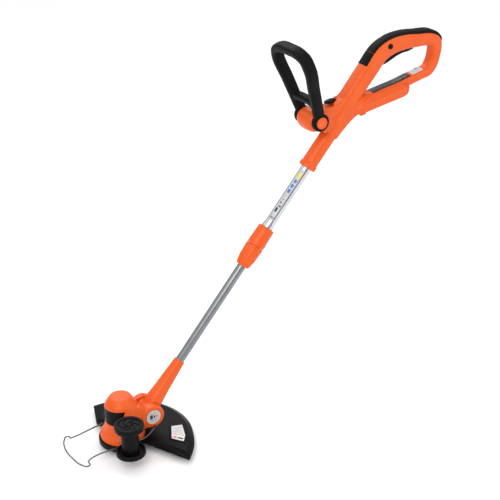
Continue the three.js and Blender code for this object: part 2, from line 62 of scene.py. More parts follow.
tiltPivot = jointPoint("head_tilt")
shaftUp = np.array(joints["shaft_length"]["axis"])
shaft = axes(tiltPivot, [shaftUp[2], 0, -shaftUp[0]], [0, 1, 0], shaftUp)  # third axis runs up the shaft
spoolAxis = axes([0, 0, 0], [1, 0, 0], [0, 1, 0], [0, 0, 1])
wheelAxis = axes(jointPoint("edge_wheel_spin") * [1, 1, 0], [1, 0, 0], [0, 1, 0], [0, 0, 1])
handleLean = math.radians(17.1)  # assist handle, forward of upright
assist = axes(jointPoint("assist_handle_tilt"), [math.cos(handleLean), 0, math.sin(handleLean)], [0, 1, 0],
              [-math.sin(handleLean), 0, math.cos(handleLean)])


def across(point):
    # a frame whose third axis is +Y, for what turns about a cross pin
    return axes(point, [1, 0, 0], [0, 0, -1], [0, 1, 0])


def placed(local, where):
    origin, directions = where
    return origin + local @ directions


def volumeOf(points, faces):
    tri = np.array([[f[0], f[i], f[i + 1]] for f in faces for i in range(1, len(f) - 1)])
    a, b, c = (points[tri[:, i]] for i in range(3))
    return np.einsum("ij,ij->i", a, np.cross(b, c)).sum() / 6


def gridFaces(rows, columns, closeRows, closeColumns):
    # every quad joins a point to its neighbours in the next row and the next column
    i, j = np.meshgrid(np.arange(rows if closeRows else rows - 1),
                       np.arange(columns if closeColumns else columns - 1), indexing="ij")
    i, j = i.ravel(), j.ravel()
    i1, j1 = (i + 1) % rows, (j + 1) % columns
    return np.stack([i * columns + j, i1 * columns + j, i1 * columns + j1, i * columns + j1], axis=1)


def shell(points, closeRows=False, capped=True):
    # a closed surface from a grid whose columns close round; open rows end in a fan to their middle
    rows, columns = points.shape[:2]
    flat = points.reshape(-1, 3)
    faces = gridFaces(rows, columns, closeRows, True).tolist()
    if capped and not closeRows:
        middles = np.stack([points[0].mean(0), points[-1].mean(0)])
        ring = np.arange(columns)
        turn = np.roll(ring, -1)
        last = (rows - 1) * columns
        faces += np.stack([ring, turn, np.full(columns, len(flat))], axis=1).tolist()
        faces += np.stack([last + turn, last + ring, np.full(columns, len(flat) + 1)], axis=1).tolist()
        flat = np.concatenate([flat, middles])
    if volumeOf(flat, faces) < 0:
        faces = [f[::-1] for f in faces]
    return flat, faces


def joined(*shells):
    points, faces, start = [], [], 0
    for p, f in shells:
        points.append(p)
        faces += [[i + start for i in face] for face in f]
        start += len(p)
    return np.concatenate(points), faces


def piece(name, solid, sharp=40):
    points, faces = solid
    mesh = bpy.data.meshes.new(name)
    mesh.from_pydata((points * mm).tolist(), [], faces)
    obj = bpy.data.objects.new(name, mesh)
    bpy.context.scene.collection.objects.link(obj)
    dress(obj, sharp)
    return obj


def dress(obj, sharp=40):
    obj.data.polygons.foreach_set("use_smooth", [True] * len(obj.data.polygons))
    obj.data.set_sharp_from_angle(angle=math.radians(sharp))
    obj.data.update()


def applied(obj):
    # the mesh with its modifiers worked in
    bpy.context.view_layer.update()
    mesh = bpy.data.meshes.new_from_object(obj.evaluated_get(bpy.context.evaluated_depsgraph_get()))
    obj.modifiers.clear()
    obj.data = mesh
    return obj


def fused(name, solid, voxel, rounds, sharp=50):
    # overlapping closed shells become one skin, whose joints are then smoothed into fillets
    obj = piece(name, solid)
    remesh = obj.modifiers.new("skin", "REMESH")
    remesh.mode = "VOXEL"
    remesh.voxel_size = voxel * mm
    soften = obj.modifiers.new("fillets", "SMOOTH")
    soften.factor = 0.5
    soften.iterations = rounds
    applied(obj)
    dress(obj, sharp)
    return obj


def boolean(obj, other, operation):
    tool = piece(obj.name + "_tool", other)
    step = obj.modifiers.new("cut", "BOOLEAN")
    step.operation = operation
    step.solver = "MANIFOLD"
    step.object = tool
    applied(obj)
    bpy.data.objects.remove(tool)
    return obj


def carve(obj, *tools):
    for tool in tools:
        boolean(obj, tool, "DIFFERENCE")
    dress(obj)
    return obj


def halves(obj, leftName, rightName, seam=0.12):
    # parts the body on the plane y = 0 and leaves a hairline seam
    far = 1200
    right = obj.copy()
    right.data = obj.data.copy()
    bpy.context.scene.collection.objects.link(right)
    boolean(obj, block([-far, -far, -far], [far, -seam, far]), "INTERSECT")
    boolean(right, block([-far, seam, -far], [far, far, far]), "INTERSECT")
    obj.name, right.name = leftName, rightName
    dress(obj)
    dress(right)
    return obj, right


def block(low, high):
    (x0, y0, z0), (x1, y1, z1) = low, high
    base = [[x0, y0], [x1, y0], [x1, y1], [x0, y1]]
    return shell(np.array([[[x, y, z] for x, y in base] for z in (z0, z1)], float))


def prism(outline, y0, y1):
    # an outline of [x, z] carried straight across
    return shell(np.array([[[x, y, z] for x, z in outline] for y in (y0, y1)], float))


def softLine(corners, size, steps=5):
    # a line of straight stretches whose corners are quadratic curves of the given length
    p = np.array(corners, float)
    t = np.linspace(0, 1, steps)[:, None]
    line = [p[:1]]
    for a, b, c in zip(p[:-2], p[1:-1], p[2:]):
        reach = min(size, 0.45 * np.linalg.norm(a - b), 0.45 * np.linalg.norm(c - b))
        s, e = b + (a - b) / np.linalg.norm(a - b) * reach, b + (c - b) / np.linalg.norm(c - b) * reach
        line.append((1 - t) ** 2 * s + 2 * t * (1 - t) * b + t ** 2 * e)
    return np.concatenate(line + [p[-1:]])


def turned(profile, where, sides=64, soft=0.8, ripple=None, closed=False):
    # radius and height turned about the frame's third axis; ripple scales the radius by angle and height
    line = softLine(profile, soft)
    angle = np.linspace(0, 2 * np.pi, sides, endpoint=False)
    radius = line[:, :1] * np.ones((1, sides))
    height = line[:, 1:] * np.ones((1, sides))
    if ripple:
        radius = radius * ripple(angle[None, :], height)
    local = np.stack([radius * np.cos(angle), radius * np.sin(angle), height], axis=2)
    return shell(placed(local, where), closeRows=closed)


def rod(point, radius, y0, y1, sides=40, soft=0.6):
    return turned([[0.01, y0], [radius, y0], [radius, y1], [0.01, y1]], across(point), sides, soft)


def smoothPath(points, count):
    # cubic Hermite curve through the points, and where each sample lies among them
    p = np.array(points, float)
    t = np.concatenate([[0], np.cumsum(np.linalg.norm(np.diff(p, axis=0), axis=1))])
    slope = np.gradient(p, t, axis=0)
    u = np.linspace(0, t[-1], count)
    k = np.clip(np.searchsorted(t, u, side="right") - 1, 0, len(t) - 2)
    h = (t[k + 1] - t[k])[:, None]
    f = (u - t[k])[:, None] / h
    path = ((2 * f ** 3 - 3 * f ** 2 + 1) * p[k] + (f ** 3 - 2 * f ** 2 + f) * h * slope[k]
            + (3 * f ** 2 - 2 * f ** 3) * p[k + 1] + (f ** 3 - f ** 2) * h * slope[k + 1])
    return path, u, t


def headings(path):
    # the unit direction of travel at every sample
    ahead = np.gradient(path, axis=0)
    return ahead / np.linalg.norm(ahead, axis=1)[:, None]


def power(value, exponent):
    return np.sign(value) * np.abs(value) ** exponent


def limb(points, rings=140, sides=56, squareness=2.6, side=(0, 1, 0)):
    # rows of x, y, z, half-width, half-depth; a superellipse section carried along a flat curve
    rows = np.array(points, float)
    path, u, t = smoothPath(rows[:, :3], rings)
    wide, deep = np.interp(u, t, rows[:, 3]), np.interp(u, t, rows[:, 4])
    ahead = headings(path)
    side = np.array(side, float)
    outward = np.cross(ahead, -side)
    angle = np.linspace(0, 2 * np.pi, sides, endpoint=False)
    c, s = power(np.cos(angle), 2 / squareness), power(np.sin(angle), 2 / squareness)
    grid = (path[:, None] + (wide[:, None] * c)[..., None] * side
            + (deep[:, None] * s)[..., None] * outward[:, None])
    return shell(grid)


def flatRows(rows):
    # x, z, half-width, half-depth rows of a limb in the plane y = 0
    return [[x, 0, z, wide, deep] for x, z, wide, deep in rows]


def facets(count, start, strength):
    # a round section drawn towards a polygon whose first corner is at the start angle
    def ripple(angle, height):
        part = 2 * np.pi / count
        local = np.mod(angle - start, part) - part / 2
        return 1 - strength * (1 - np.cos(part / 2) / np.cos(local))
    return ripple


def add(tree, kind, **settings):
    made = tree.nodes.new(kind)
    for key, value in settings.items():
        if key in made.inputs:
            made.inputs[key].default_value = value
        else:
            setattr(made, key, value)
    return made


def blank(name):
    material = bpy.data.materials.new(name)
    material.use_nodes = True
    tree = material.node_tree
    return material, tree, tree.nodes["Principled BSDF"]


def noise(tree, vector, scale, detail=2.0):
    made = add(tree, "ShaderNodeTexNoise", Scale=scale, Detail=detail)
    tree.links.new(vector, made.inputs["Vector"])
    return made.outputs["Fac"]


def ranged(tree, value, low, high, toLow, toHigh):
    made = add(tree, "ShaderNodeMapRange")
    for key, number in zip(("From Min", "From Max", "To Min", "To Max"), (low, high, toLow, toHigh)):
        made.inputs[key].default_value = number
    tree.links.new(value, made.inputs["Value"])
    return made.outputs["Result"]


def mixed(tree, factor, a, b):
    made = add(tree, "ShaderNodeMix", data_type="RGBA")
    for socket, value in ((made.inputs["Factor"], factor), (made.inputs["A"], a), (made.inputs["B"], b)):
        if isinstance(value, bpy.types.NodeSocket):
            tree.links.new(value, socket)
        else:
            socket.default_value = value
    return made.outputs["Result"]


def product(tree, a, b, operation="MULTIPLY"):
    made = add(tree, "ShaderNodeMath", operation=operation)
    for socket, value in zip(made.inputs, (a, b)):
        if isinstance(value, bpy.types.NodeSocket):
            tree.links.new(value, socket)
        else:
            socket.default_value = value
    return made.outputs[0]


def moulded(name, look):
    # plastic or rubber: cloudy colour, spark-eroded grain, rubbed edges, painted shade in hollows and creases, and
    # a roughness that drifts
    material, tree, shader = blank(name)
    where = add(tree, "ShaderNodeTexCoord").outputs["Object"]
    cloud = noise(tree, where, look["cloud"], 4.0)
    grain = noise(tree, where, look["grain"], 3.0)
    smudge = noise(tree, where, look["cloud"] * 5, 5.0)
    edge = add(tree, "ShaderNodeNewGeometry").outputs["Pointiness"]
    colour = mixed(tree, ranged(tree, cloud, 0.35, 0.65, 0.0, 1.0), look["colour"], look["drift"])
    rubbed = product(tree, ranged(tree, edge, 0.515, 0.57, 0.0, look["wear"]),
                     ranged(tree, smudge, 0.4, 0.6, 0.2, 1.0))
    colour = mixed(tree, rubbed, colour, look["rubbed"])
    # painted shade: where the surface is hollow (low pointiness) the colour is darkened towards the shade colour
    paintedCreaseShade = ranged(tree, edge, 0.48, 0.42, 0.0, look["paintedCreaseShade"])
    colour = mixed(tree, paintedCreaseShade, colour, look["shade"])
    tree.links.new(colour, shader.inputs["Base Color"])
    rough = product(tree, ranged(tree, smudge, 0.3, 0.7, -0.05, 0.06), look["rough"], "ADD")
    tree.links.new(rough, shader.inputs["Roughness"])
    bump = add(tree, "ShaderNodeBump", Strength=look["bump"], Distance=look["height"])
    tree.links.new(grain, bump.inputs["Height"])
    tree.links.new(bump.outputs["Normal"], shader.inputs["Normal"])
    shader.inputs["Specular IOR Level"].default_value = look["gloss"]
    return material


# in each look, shade is the colour of the shade painted into hollows and creases, and the number after wear sets
# how strong it is
orangeLook = {"colour": (0.80, 0.106, 0.009, 1), "drift": (0.74, 0.094, 0.008, 1),
              "rubbed": (0.92, 0.20, 0.05, 1),
              "shade": (0.42, 0.035, 0.004, 1), "cloud": 14.0, "grain": 1500.0, "rough": 0.36, "bump": 0.25,
              "height": 0.0002, "wear": 0.5, "paintedCreaseShade": 0.6, "gloss": 0.3}
blackLook = {"colour": (0.0035, 0.0035, 0.004, 1), "drift": (0.006, 0.006, 0.0065, 1),
             "rubbed": (0.03, 0.03, 0.031, 1),
             "shade": (0.001, 0.001, 0.001, 1), "cloud": 20.0, "grain": 1300.0, "rough": 0.36, "bump": 0.3,
             "height": 0.0003, "wear": 0.35, "paintedCreaseShade": 0.5, "gloss": 0.08}
rubberLook = dict(blackLook, colour=(0.005, 0.005, 0.0055, 1), drift=(0.008, 0.008, 0.0085, 1), rough=0.48,
                  grain=900.0, bump=0.5, gloss=0.07)
nylonLook = dict(blackLook, gloss=0.4, colour=(0.62, 0.60, 0.54, 1), drift=(0.56, 0.54, 0.48, 1),
                 rubbed=(0.7, 0.68, 0.62, 1), shade=(0.3, 0.29, 0.26, 1), rough=0.45)
lineLook = dict(orangeLook, colour=(0.80, 0.20, 0.03, 1), drift=(0.74, 0.17, 0.03, 1), rough=0.3)


def drawnTube(name, look):
    # metal with fine lines along the shaft, a few handling marks and a drifting sheen
    material, tree, shader = blank(name)
    where = add(tree, "ShaderNodeTexCoord").outputs["Object"]
    lay = add(tree, "ShaderNodeMapping")
    lay.inputs["Rotation"].default_value = (0, -math.atan2(shaftUp[0], shaftUp[2]), 0)
    lay.inputs["Scale"].default_value = (1, 1, 0.012)
    tree.links.new(where, lay.inputs["Vector"])
    lines = noise(tree, lay.outputs["Vector"], look["lines"], 4.0)
    cloud = noise(tree, where, 30.0, 4.0)
    tree.links.new(mixed(tree, ranged(tree, cloud, 0.3, 0.7, 0.0, 1.0), look["colour"], look["drift"]),
                   shader.inputs["Base Color"])
    rough = product(tree, ranged(tree, lines, 0.3, 0.7, -0.06, 0.06), look["rough"], "ADD")
    tree.links.new(rough, shader.inputs["Roughness"])
    bump = add(tree, "ShaderNodeBump", Strength=0.12, Distance=0.0001)
    tree.links.new(lines, bump.inputs["Height"])
    tree.links.new(bump.outputs["Normal"], shader.inputs["Normal"])
    shader.inputs["Metallic"].default_value = look["metal"]
    return material


brightLook = {"colour": (0.62, 0.63, 0.65, 1), "drift": (0.54, 0.55, 0.58, 1), "rough": 0.17, "lines": 900.0,
              "metal": 1.0}
greyLook = {"colour": (0.27, 0.28, 0.29, 1), "drift": (0.22, 0.23, 0.24, 1), "rough": 0.34, "lines": 1100.0,
            "metal": 0.85}
steelLook = {"colour": (0.55, 0.56, 0.58, 1), "drift": (0.47, 0.48, 0.50, 1), "rough": 0.3, "lines": 700.0,
             "metal": 1.0}
wireLook = {"colour": (0.16, 0.16, 0.165, 1), "drift": (0.10, 0.10, 0.105, 1), "rough": 0.25, "lines": 800.0,
            "metal": 1.0}

finish = {
    "orange_shell": moulded("orangeShell", orangeLook),
    "black_plastic": moulded("blackPlastic", blackLook),
    "grip_rubber": moulded("gripRubber", rubberLook),
    "lead_rubber": moulded("leadRubber", dict(rubberLook, grain=1800.0)),
    "bright_tube": drawnTube("brightTube", brightLook),
    "grey_tube": drawnTube("greyTube", greyLook),
    "steel": drawnTube("zincSteel", steelLook),
    "wire_steel": drawnTube("wireSteel", wireLook),
    "nylon": moulded("naturalNylon", nylonLook),
    "trimmer_line": moulded("trimmerLine", lineLook),
}

for part in frame["record"]["subparts"]:
    node = frame["nodes"][part["node"]]
    node.data.materials.clear()
    node.data.materials.append(finish[part["material_slot"]])
print("materials ready:", len(finish))


def settle(obj, body, slotName, *replaced):
    obj.data.materials.clear()
    obj.data.materials.append(finish[slotName])
    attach(obj, body)
    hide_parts(*replaced)


view = {"place": (-0.9624, -2.2461, 1.6549), "ahead": (0.4529, 0.7772, -0.4368),
        "right": (0.857, -0.5146, -0.027),
        "lens": 92.2}


# each light: place, target, size across and up in metres, watts
studio = {"key": [(-1.5, -1.7, 2.4), (0.35, 0, 0.35), (1.3, 1.3), 30],
          "fill": [(1.9, -2.3, 1.0), (0.45, 0, 0.4), (1.0, 1.6), 10],
          "rim": [(0.6, 2.0, 2.2), (0.4, 0, 0.4), (1.6, 0.8), 12]}
floorSizes = {"reach": 9000, "top": -0.4, "bottom": -30}


def stance(right, up, away, place):
    # the matrix of a thing that looks against its third axis
    turn = np.eye(4)
    turn[:3, :3] = np.stack([right, up, away], axis=1)
    turn[:3, 3] = place
    return Matrix(turn.tolist())


def makeCamera():
    data = bpy.data.cameras.new("camera")
    data.lens = view["lens"]
    data.sensor_width = 36
    camera = bpy.data.objects.new("camera", data)
    ahead, right = (np.array(view[k]) / np.linalg.norm(view[k]) for k in ("ahead", "right"))
    up = np.cross(right, ahead)
    up /= np.linalg.norm(up)
    right = np.cross(ahead, up)
    camera.matrix_world = stance(right, up, -ahead, view["place"])
    bpy.context.scene.collection.objects.link(camera)
    bpy.context.scene.camera = camera


def areaLight(name, place, target, size, watts):
    data = bpy.data.lights.new(name, "AREA")
    data.shape = "RECTANGLE"
    data.size, data.size_y = size
    data.energy = watts
    light = bpy.data.objects.new(name, data)
    away = np.array(place) - np.array(target)
    away /= np.linalg.norm(away)
    side = np.cross([0, 0, 1], away)
    side /= np.linalg.norm(side)
    light.matrix_world = stance(side, np.cross(away, side), away, place)
    bpy.context.scene.collection.objects.link(light)


def makeStudio():
    scene = bpy.context.scene
    scene.view_settings.view_transform = "Standard"
    world = bpy.data.worlds.new("studio")
    world.use_nodes = True
    tree = world.node_tree
    sky = tree.nodes["Background"]
    height = add(tree, "ShaderNodeSeparateXYZ")
    tree.links.new(add(tree, "ShaderNodeTexCoord").outputs["Generated"], height.inputs["Vector"])
    level = ranged(tree, height.outputs["Z"], 0.10, 0.50, 0.0, 1.0)
    tree.links.new(mixed(tree, level, (0.16, 0.16, 0.165, 1), (1.0, 1.0, 1.0, 1)), sky.inputs["Color"])
    sky.inputs["Strength"].default_value = 1.1
    scene.world = world
    for name, settings in studio.items():
        areaLight(name, *settings)
    floorMaterial, tree, shader = blank("paleFloor")
    where = add(tree, "ShaderNodeTexCoord").outputs["Object"]
    tree.links.new(mixed(tree, noise(tree, where, 3.0), (0.97, 0.97, 0.97, 1), (0.98, 0.98, 0.98, 1)),
                   shader.inputs["Base Color"])
    shader.inputs["Roughness"].default_value = 0.8
    reach = floorSizes["reach"]
    floor = piece("floor", block([-reach, -reach, floorSizes["bottom"]], [reach, reach, floorSizes["top"]]))
    floor.data.materials.append(floorMaterial)


makeCamera()
makeStudio()
print("studio ready")

# rows of x, z, half-width, half-depth along the grip, round the back and along the lower limb
rearHandle = {
    "square": 3.3,  # 2 is an oval section, larger is boxier
    "loop": [[575, 652, 20, 21], [621, 707, 20, 21], [667, 759, 20, 21.5], [697, 790.5, 19, 22.5],
             [727, 803.5, 18, 22.5], [760, 807.5, 17.5, 21.5], [795, 806, 17.5, 19.6], [832, 802.5, 17.2, 19],
             [850, 795, 16.8, 15.6], [854.2, 778, 16.2, 14.2], [852, 760, 15.6, 13.8],
             [845, 739, 15.5, 13.5], [834, 725, 15.5, 13], [812, 719, 15.5, 12.5], [785, 713, 15.5, 12.5],
             [740, 703, 15.5, 12.5], [690, 694, 16, 13], [655, 684, 17, 14]],
    "belly": [[560, 625, 19, 19], [585, 650, 20, 20], [615, 672, 20, 20], [655, 684, 19, 18],
              [690, 690, 17, 15]],
    "web": [[505, 660], [512, 688], [545, 692.5], [575, 694], [604, 712], [622, 700], [612, 660], [575, 640],
            [540, 636]],
    "foot": [[636, 660], [639, 655], [660, 659], [663, 667], [646, 674]],
    "lug": [[562, 688], [566, 700], [573, 703.8], [580, 702.5], [590, 707], [592, 690]],
    "seam": [[835, 771.4], [835, 770.8], [880, 766.2], [880, 766.8]],
    "screws": [[612, 672], [668, 742], [815, 805], [760, 707]],
    "trigger": [[698, 750], [794, 750], [794, 795.6], [698, 793]],
    "pocket": [[652, 640], [752, 650.3], [747.5, 694], [652, 684]],
    "rail": [[652, 671], [743, 683.6], [743, 688], [652, 675.4]],
    "leverRoom": [[540, 693.5], [560, 694], [579, 696], [590, 715], [540, 715]],
    "pivotDrum": [[0.01, -29.5], [18, -29.5], [24, -21], [25.5, -9], [25.5, 9], [24, 21], [18, 29.5],
                  [0.01, 29.5]],
    "stop": [[14, -7], [22.5, -7], [22.5, 7], [14, 7]],  # the small lug under the neck, across the shaft
    "stopEnds": [748, 759],
    "halfWidths": {"web": 17, "foot": 16, "trigger": 6.5, "pocket": 25.5, "leverRoom": 9.5},
    "spans": {"lug": [9.6, 15], "seam": [15.1, 30], "rail": [22.8, 26.2]},  # on both sides of the centre
    "buttonHole": 6.3,
    "pinHole": [1.6, 10.5],  # radius and half-length
    "screwHole": [3.9, 13.4],  # radius and depth of its floor from the centre
    "past": 40,  # outside the handle, where cuts end
}
# the dock: x, z of the lower edge, z of the side crease, z of the top, and the three half-widths
dock = [[620, 661, 670, 682, 17, 19, 16], [636, 664.5, 680, 690, 26, 28, 19],
        [646, 666.5, 685, 695, 28, 30.5, 20], [700, 675, 694, 704, 28, 30.5, 20],
        [747, 682, 701, 711, 28, 30.5, 20], [761, 686, 703, 711, 27, 29, 19],
        [767, 693, 704, 708, 24, 26, 16]]
neckSizes = {"rim": 657, "flare": 21.4, "flareEnd": 666, "radius": 19.3, "start": 671, "end": 795,
             "bore": 12.3,
             "boreEnds": [640, 790], "corners": 6, "cornerAt": -125, "draw": 0.35}


def slab(name):
    half = rearHandle["halfWidths"][name]
    return prism(rearHandle[name], -half, half)


def slabPair(name):
    # the same outline on both sides of the centre plane
    near, far = rearHandle["spans"][name]
    return [prism(rearHandle[name], -far, -near), prism(rearHandle[name], near, far)]


def dockShell():
    # straight lines between corner points, carried over the six corners of each cross-section
    corners = np.array([[[x, -w1, z1], [x, -w2, z2], [x, -w3, z3], [x, w3, z3], [x, w2, z2], [x, w1, z1]]
                        for x, z1, z2, z3, w1, w2, w3 in dock], float)
    return shell(corners)


def makeHousing():
    loop = limb(flatRows(rearHandle["loop"]), rings=260, squareness=rearHandle["square"])
    belly = limb(flatRows(rearHandle["belly"]), rings=60, squareness=rearHandle["square"])
    rim, r = neckSizes["flare"], neckSizes["radius"]
    line = [[0.01, neckSizes["rim"]], [rim, neckSizes["rim"]], [rim, neckSizes["flareEnd"]],
            [r, neckSizes["start"]], [r, neckSizes["end"]], [0.01, neckSizes["end"]]]
    polygon = facets(neckSizes["corners"], math.radians(neckSizes["cornerAt"]), neckSizes["draw"])
    neck = turned(line, shaft, 72, 1.5, polygon)
    stop = placed(np.array([[[a, b, h] for a, b in rearHandle["stop"]] for h in rearHandle["stopEnds"]],
                           float), shaft)
    pivot = assist[0] + [-1.5, 0, -2]
    drum = turned(rearHandle["pivotDrum"], across(pivot), 72, 6)
    solid = joined(loop, belly, neck, drum, shell(stop), dockShell(), slab("web"), slab("foot"),
                   *slabPair("lug"))
    body = fused("housing", solid, 1.2, 6)
    bore, (start, end), past = neckSizes["bore"], neckSizes["boreEnds"], rearHandle["past"]
    tubeRoom = turned([[0.01, start], [bore, start], [bore, end], [0.01, end]], shaft, 48)
    buttonRoom = rod(lockPlace, rearHandle["buttonHole"], -past, past)
    pinRadius, pinHalf = rearHandle["pinHole"]
    pinRoom = rod(jointPoint("trigger_pull"), pinRadius, -pinHalf, pinHalf)
    screwRadius, screwFloor = rearHandle["screwHole"]
    holes = [rod([x, 0, z], screwRadius, screwFloor, past) for x, z in rearHandle["screws"]]
    carve(body, tubeRoom, slab("trigger"), slab("pocket"), buttonRoom, pinRoom, *holes, *slabPair("seam"),
          slab("leverRoom"))
    boolean(body, joined(*slabPair("rail")), "UNION")
    left, right = halves(body, "housingShellLeft", "housingShellRight")
    settle(left, "handle", "orange_shell", "housing_left")
    settle(right, "handle", "orange_shell", "housing_right")


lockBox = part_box("lock_off_button")
lockPlace = np.array([(lockBox[0][i] + lockBox[1][i]) / 2 / mm for i in range(3)]) * [1, 0, 1]
makeHousing()
print("rear handle ready")

grip = {"noseStart": 0.230, "noseEnd": 0.283, "coverEnd": 0.578, "proud": 1.3, "under": -1.2,
        "edgeAt": [0.2, 0.33, 0.36, 0.42, 0.50, 0.56, 0.62], "edge": [46, 46, 42, 35, 27, 24, 26],
        "creases": [0.345, 0.385, 0.43, 0.475]}


def loopAt(at):
    # centre, outward normal, half-width and half-depth of the loop at shares of its length
    rows = np.array(flatRows(rearHandle["loop"]), float)
    path, u, t = smoothPath(rows[:, :3], 900)
    share = u / u[-1]
    outward = np.cross(headings(path), [0, 1, 0])
    centre, normal = (np.stack([np.interp(at, share, line[:, i]) for i in range(3)], axis=1)
                      for line in (path, outward))
    wide, deep = (np.interp(at, share, np.interp(u, t, rows[:, i]))[:, None] for i in (3, 4))
    return centre, normal, wide, deep


def gripShell(first, last, rings):
    # the band of the loop's section between its two edge angles, standing proud, with rounded borders
    at = np.linspace(first, last, rings)
    centre, normal, wide, deep = loopAt(at)
    edge = np.radians(np.interp(at, grip["edgeAt"], grip["edge"]))[:, None]
    w = np.concatenate([np.linspace(0, 1, 44), np.linspace(1, 0, 26)[1:-1]])
    over = np.arange(len(w)) < 44
    lift = np.where(over, grip["proud"] - 1.9 * np.abs(2 * w - 1) ** 18, grip["under"])[None, :]
    tip = np.clip(np.minimum(at - first, last - at)[:, None] / 0.002 + 0.35, 0, 1)
    lift = np.where(over[None, :], grip["under"] + (lift - grip["under"]) * np.sqrt(1 - (1 - tip) ** 2), lift)
    for place in grip["creases"]:
        lift = lift - np.where(over[None, :], 0.7 * np.exp(-((at[:, None] - place) / 0.0022) ** 2), 0)
    angle = edge + (np.pi - 2 * edge) * w[None, :]
    square = 2 / rearHandle["square"]
    c, s = power(np.cos(angle), square), power(np.sin(angle), square)
    sideways, depth = (wide + lift) * c, (deep + lift) * s
    return shell(centre[:, None] + sideways[..., None] * np.array([0, 1, 0])
                 + depth[..., None] * normal[:, None])


def makeGrip():
    nose = piece("gripNoseCover", gripShell(grip["noseStart"], grip["noseEnd"], 60))
    cover = piece("gripCover", gripShell(grip["noseEnd"] + 0.0009, grip["coverEnd"], 300))
    settle(nose, "handle", "grip_rubber", "grip_nose")
    settle(cover, "handle", "grip_rubber", "grip_overmold")


makeGrip()
print("grip ready")

# tubes: both ends along the shaft, outer and inner radius; profiles: radius and place along the shaft
tubes = {"upper": [450, 750, 12, 10.8], "lower": [30, 530, 10, 8.8]}
collar = {"sleeve": [[12.3, 447.2], [20.6, 447.2], [20.9, 448.6], [20.4, 452.5], [20.9, 453], [20, 468],
                     [19.6, 489], [18.6, 495], [12.3, 495], [12.3, 447.2]],
          "nut": [[10.4, 393], [14.6, 393], [16, 394.5], [18, 404], [19.8, 414], [20.9, 438], [20.9, 446.4],
                  [12.3, 446.4], [12.3, 424.7], [10.4, 424.7], [10.4, 393]],
          "flats": 8, "flatDepth": 0.05, "flatsFrom": 401, "flatsTo": 443}
lowerNeck = {"cone": [[0.01, 8], [21, 8], [21.3, 30], [18.5, 58], [15, 110], [13.6, 131], [13.2, 136.6],
                      [0.01, 136.6]],
             "barrel": 23.4, "half": 17.8, "bore": 10.3, "room": 27.8, "screw": [-13, 0, 13]}


def makeTubes():
    start, end, outer, inner = tubes["upper"]
    flared = [[inner, start], [outer, start], [outer, 495.2], [13.9, 495.3], [13.9, 499], [outer, 513],
              [outer, end], [inner, end], [inner, start]]
    settle(piece("upperTubeSkin", turned(flared, shaft, 72, 0.4, closed=True)), "handle", "bright_tube",
           "upper_tube")
    start, end, outer, inner = tubes["lower"]
    plain = [[inner, start], [outer, start], [outer, end], [inner, end], [inner, start]]
    settle(piece("lowerTubeSkin", turned(plain, shaft, 72, 0.4, closed=True)), "lower_shaft", "grey_tube",
           "lower_tube")


def scallops(angle, height):
    # shallow finger flats that fade out at both ends of the nut
    fade = np.clip((height - collar["flatsFrom"]) / 8, 0, 1) * np.clip((collar["flatsTo"] - height) / 4, 0, 1)
    return 1 - collar["flatDepth"] * fade * np.clip(np.cos(collar["flats"] * angle) - 0.25, 0, 1)


def makeCollar():
    settle(piece("collarTop", turned(collar["sleeve"], shaft, 96, 0.7, closed=True)), "handle",
           "orange_shell", "collar_sleeve")
    dense = softLine(collar["nut"], 0.7)
    rows = np.concatenate([np.linspace(a, b, 6, endpoint=False) for a, b in zip(dense[:-1], dense[1:])]
                          + [dense[-1:]])
    settle(piece("collarNut", turned(rows, shaft, 160, 0.01, scallops, closed=True)), "collar",
           "orange_shell",
           "collar_nut")


def makeLowerNeck():
    cone = turned(lowerNeck["cone"], shaft, 96, 1.6, facets(6, math.radians(-125), 0.45))
    half, room, bore = lowerNeck["half"], lowerNeck["room"], lowerNeck["bore"]
    barrel = rod(tiltPivot, lowerNeck["barrel"], -half, half, 96, 2)
    body = fused("lowerNeck", joined(cone, barrel), 0.95, 5)
    clear = [turned([[0.01, a], [room, a], [room, b], [0.01, b]], across(tiltPivot), 96, 0.05)
             for a, b in ((-60, -half - 0.1), (half + 0.1, 60))]
    hollow = turned([[0.01, 29.5], [bore, 29.5], [bore, 150], [0.01, 150]], shaft, 64)
    screw = placed(np.array(lowerNeck["screw"], float), shaft)
    carve(body, *clear, hollow, rod(tiltPivot, 4.3, -40, 40), rod(screw, 3.9, 14, 40))
    left, right = halves(body, "neckShellLeft", "neckShellRight")
    settle(left, "lower_shaft", "orange_shell", "neck_left")
    settle(right, "lower_shaft", "orange_shell", "neck_right")


makeTubes()
makeCollar()
makeLowerNeck()
print("shaft ready")

bail = {"rows": [[-35.5, 8, 12, 8], [-39, 28, 13, 9], [-50, 90, 13.5, 10], [-58, 138, 14, 10.6],
                 [-50, 162, 14, 10.8], [-32, 171, 14, 10.8], [0, 173.5, 14, 10.8], [42, 170, 14, 10.8],
                 [62, 160, 14, 10.8], [70, 138, 14, 10.6], [56, 90, 13.5, 10], [40, 28, 13, 9],
                 [35.5, 8, 12, 8]],
        "bar": [[-42, 47, 11, 9.5], [-20, 50.5, 10.5, 8.5], [0, 51.5, 10, 8], [20, 50.5, 10.5, 8.5],
                [44, 47, 11, 9.5]],
        "eye": 20.5, "inner": 29.8, "outer": 41}
lever = {"thick": 0.62, "tilt": 0.30, "rise": 0.06}  # shares of the half height


def bailLimb(rows, rings):
    # rows of y, height above the pivot, and the two half-sizes
    points = [[*placed(np.array([0, y, h], float), assist), thick, deep] for y, h, thick, deep in rows]
    return limb(points, rings, 56, 3.0, assist[1][0])


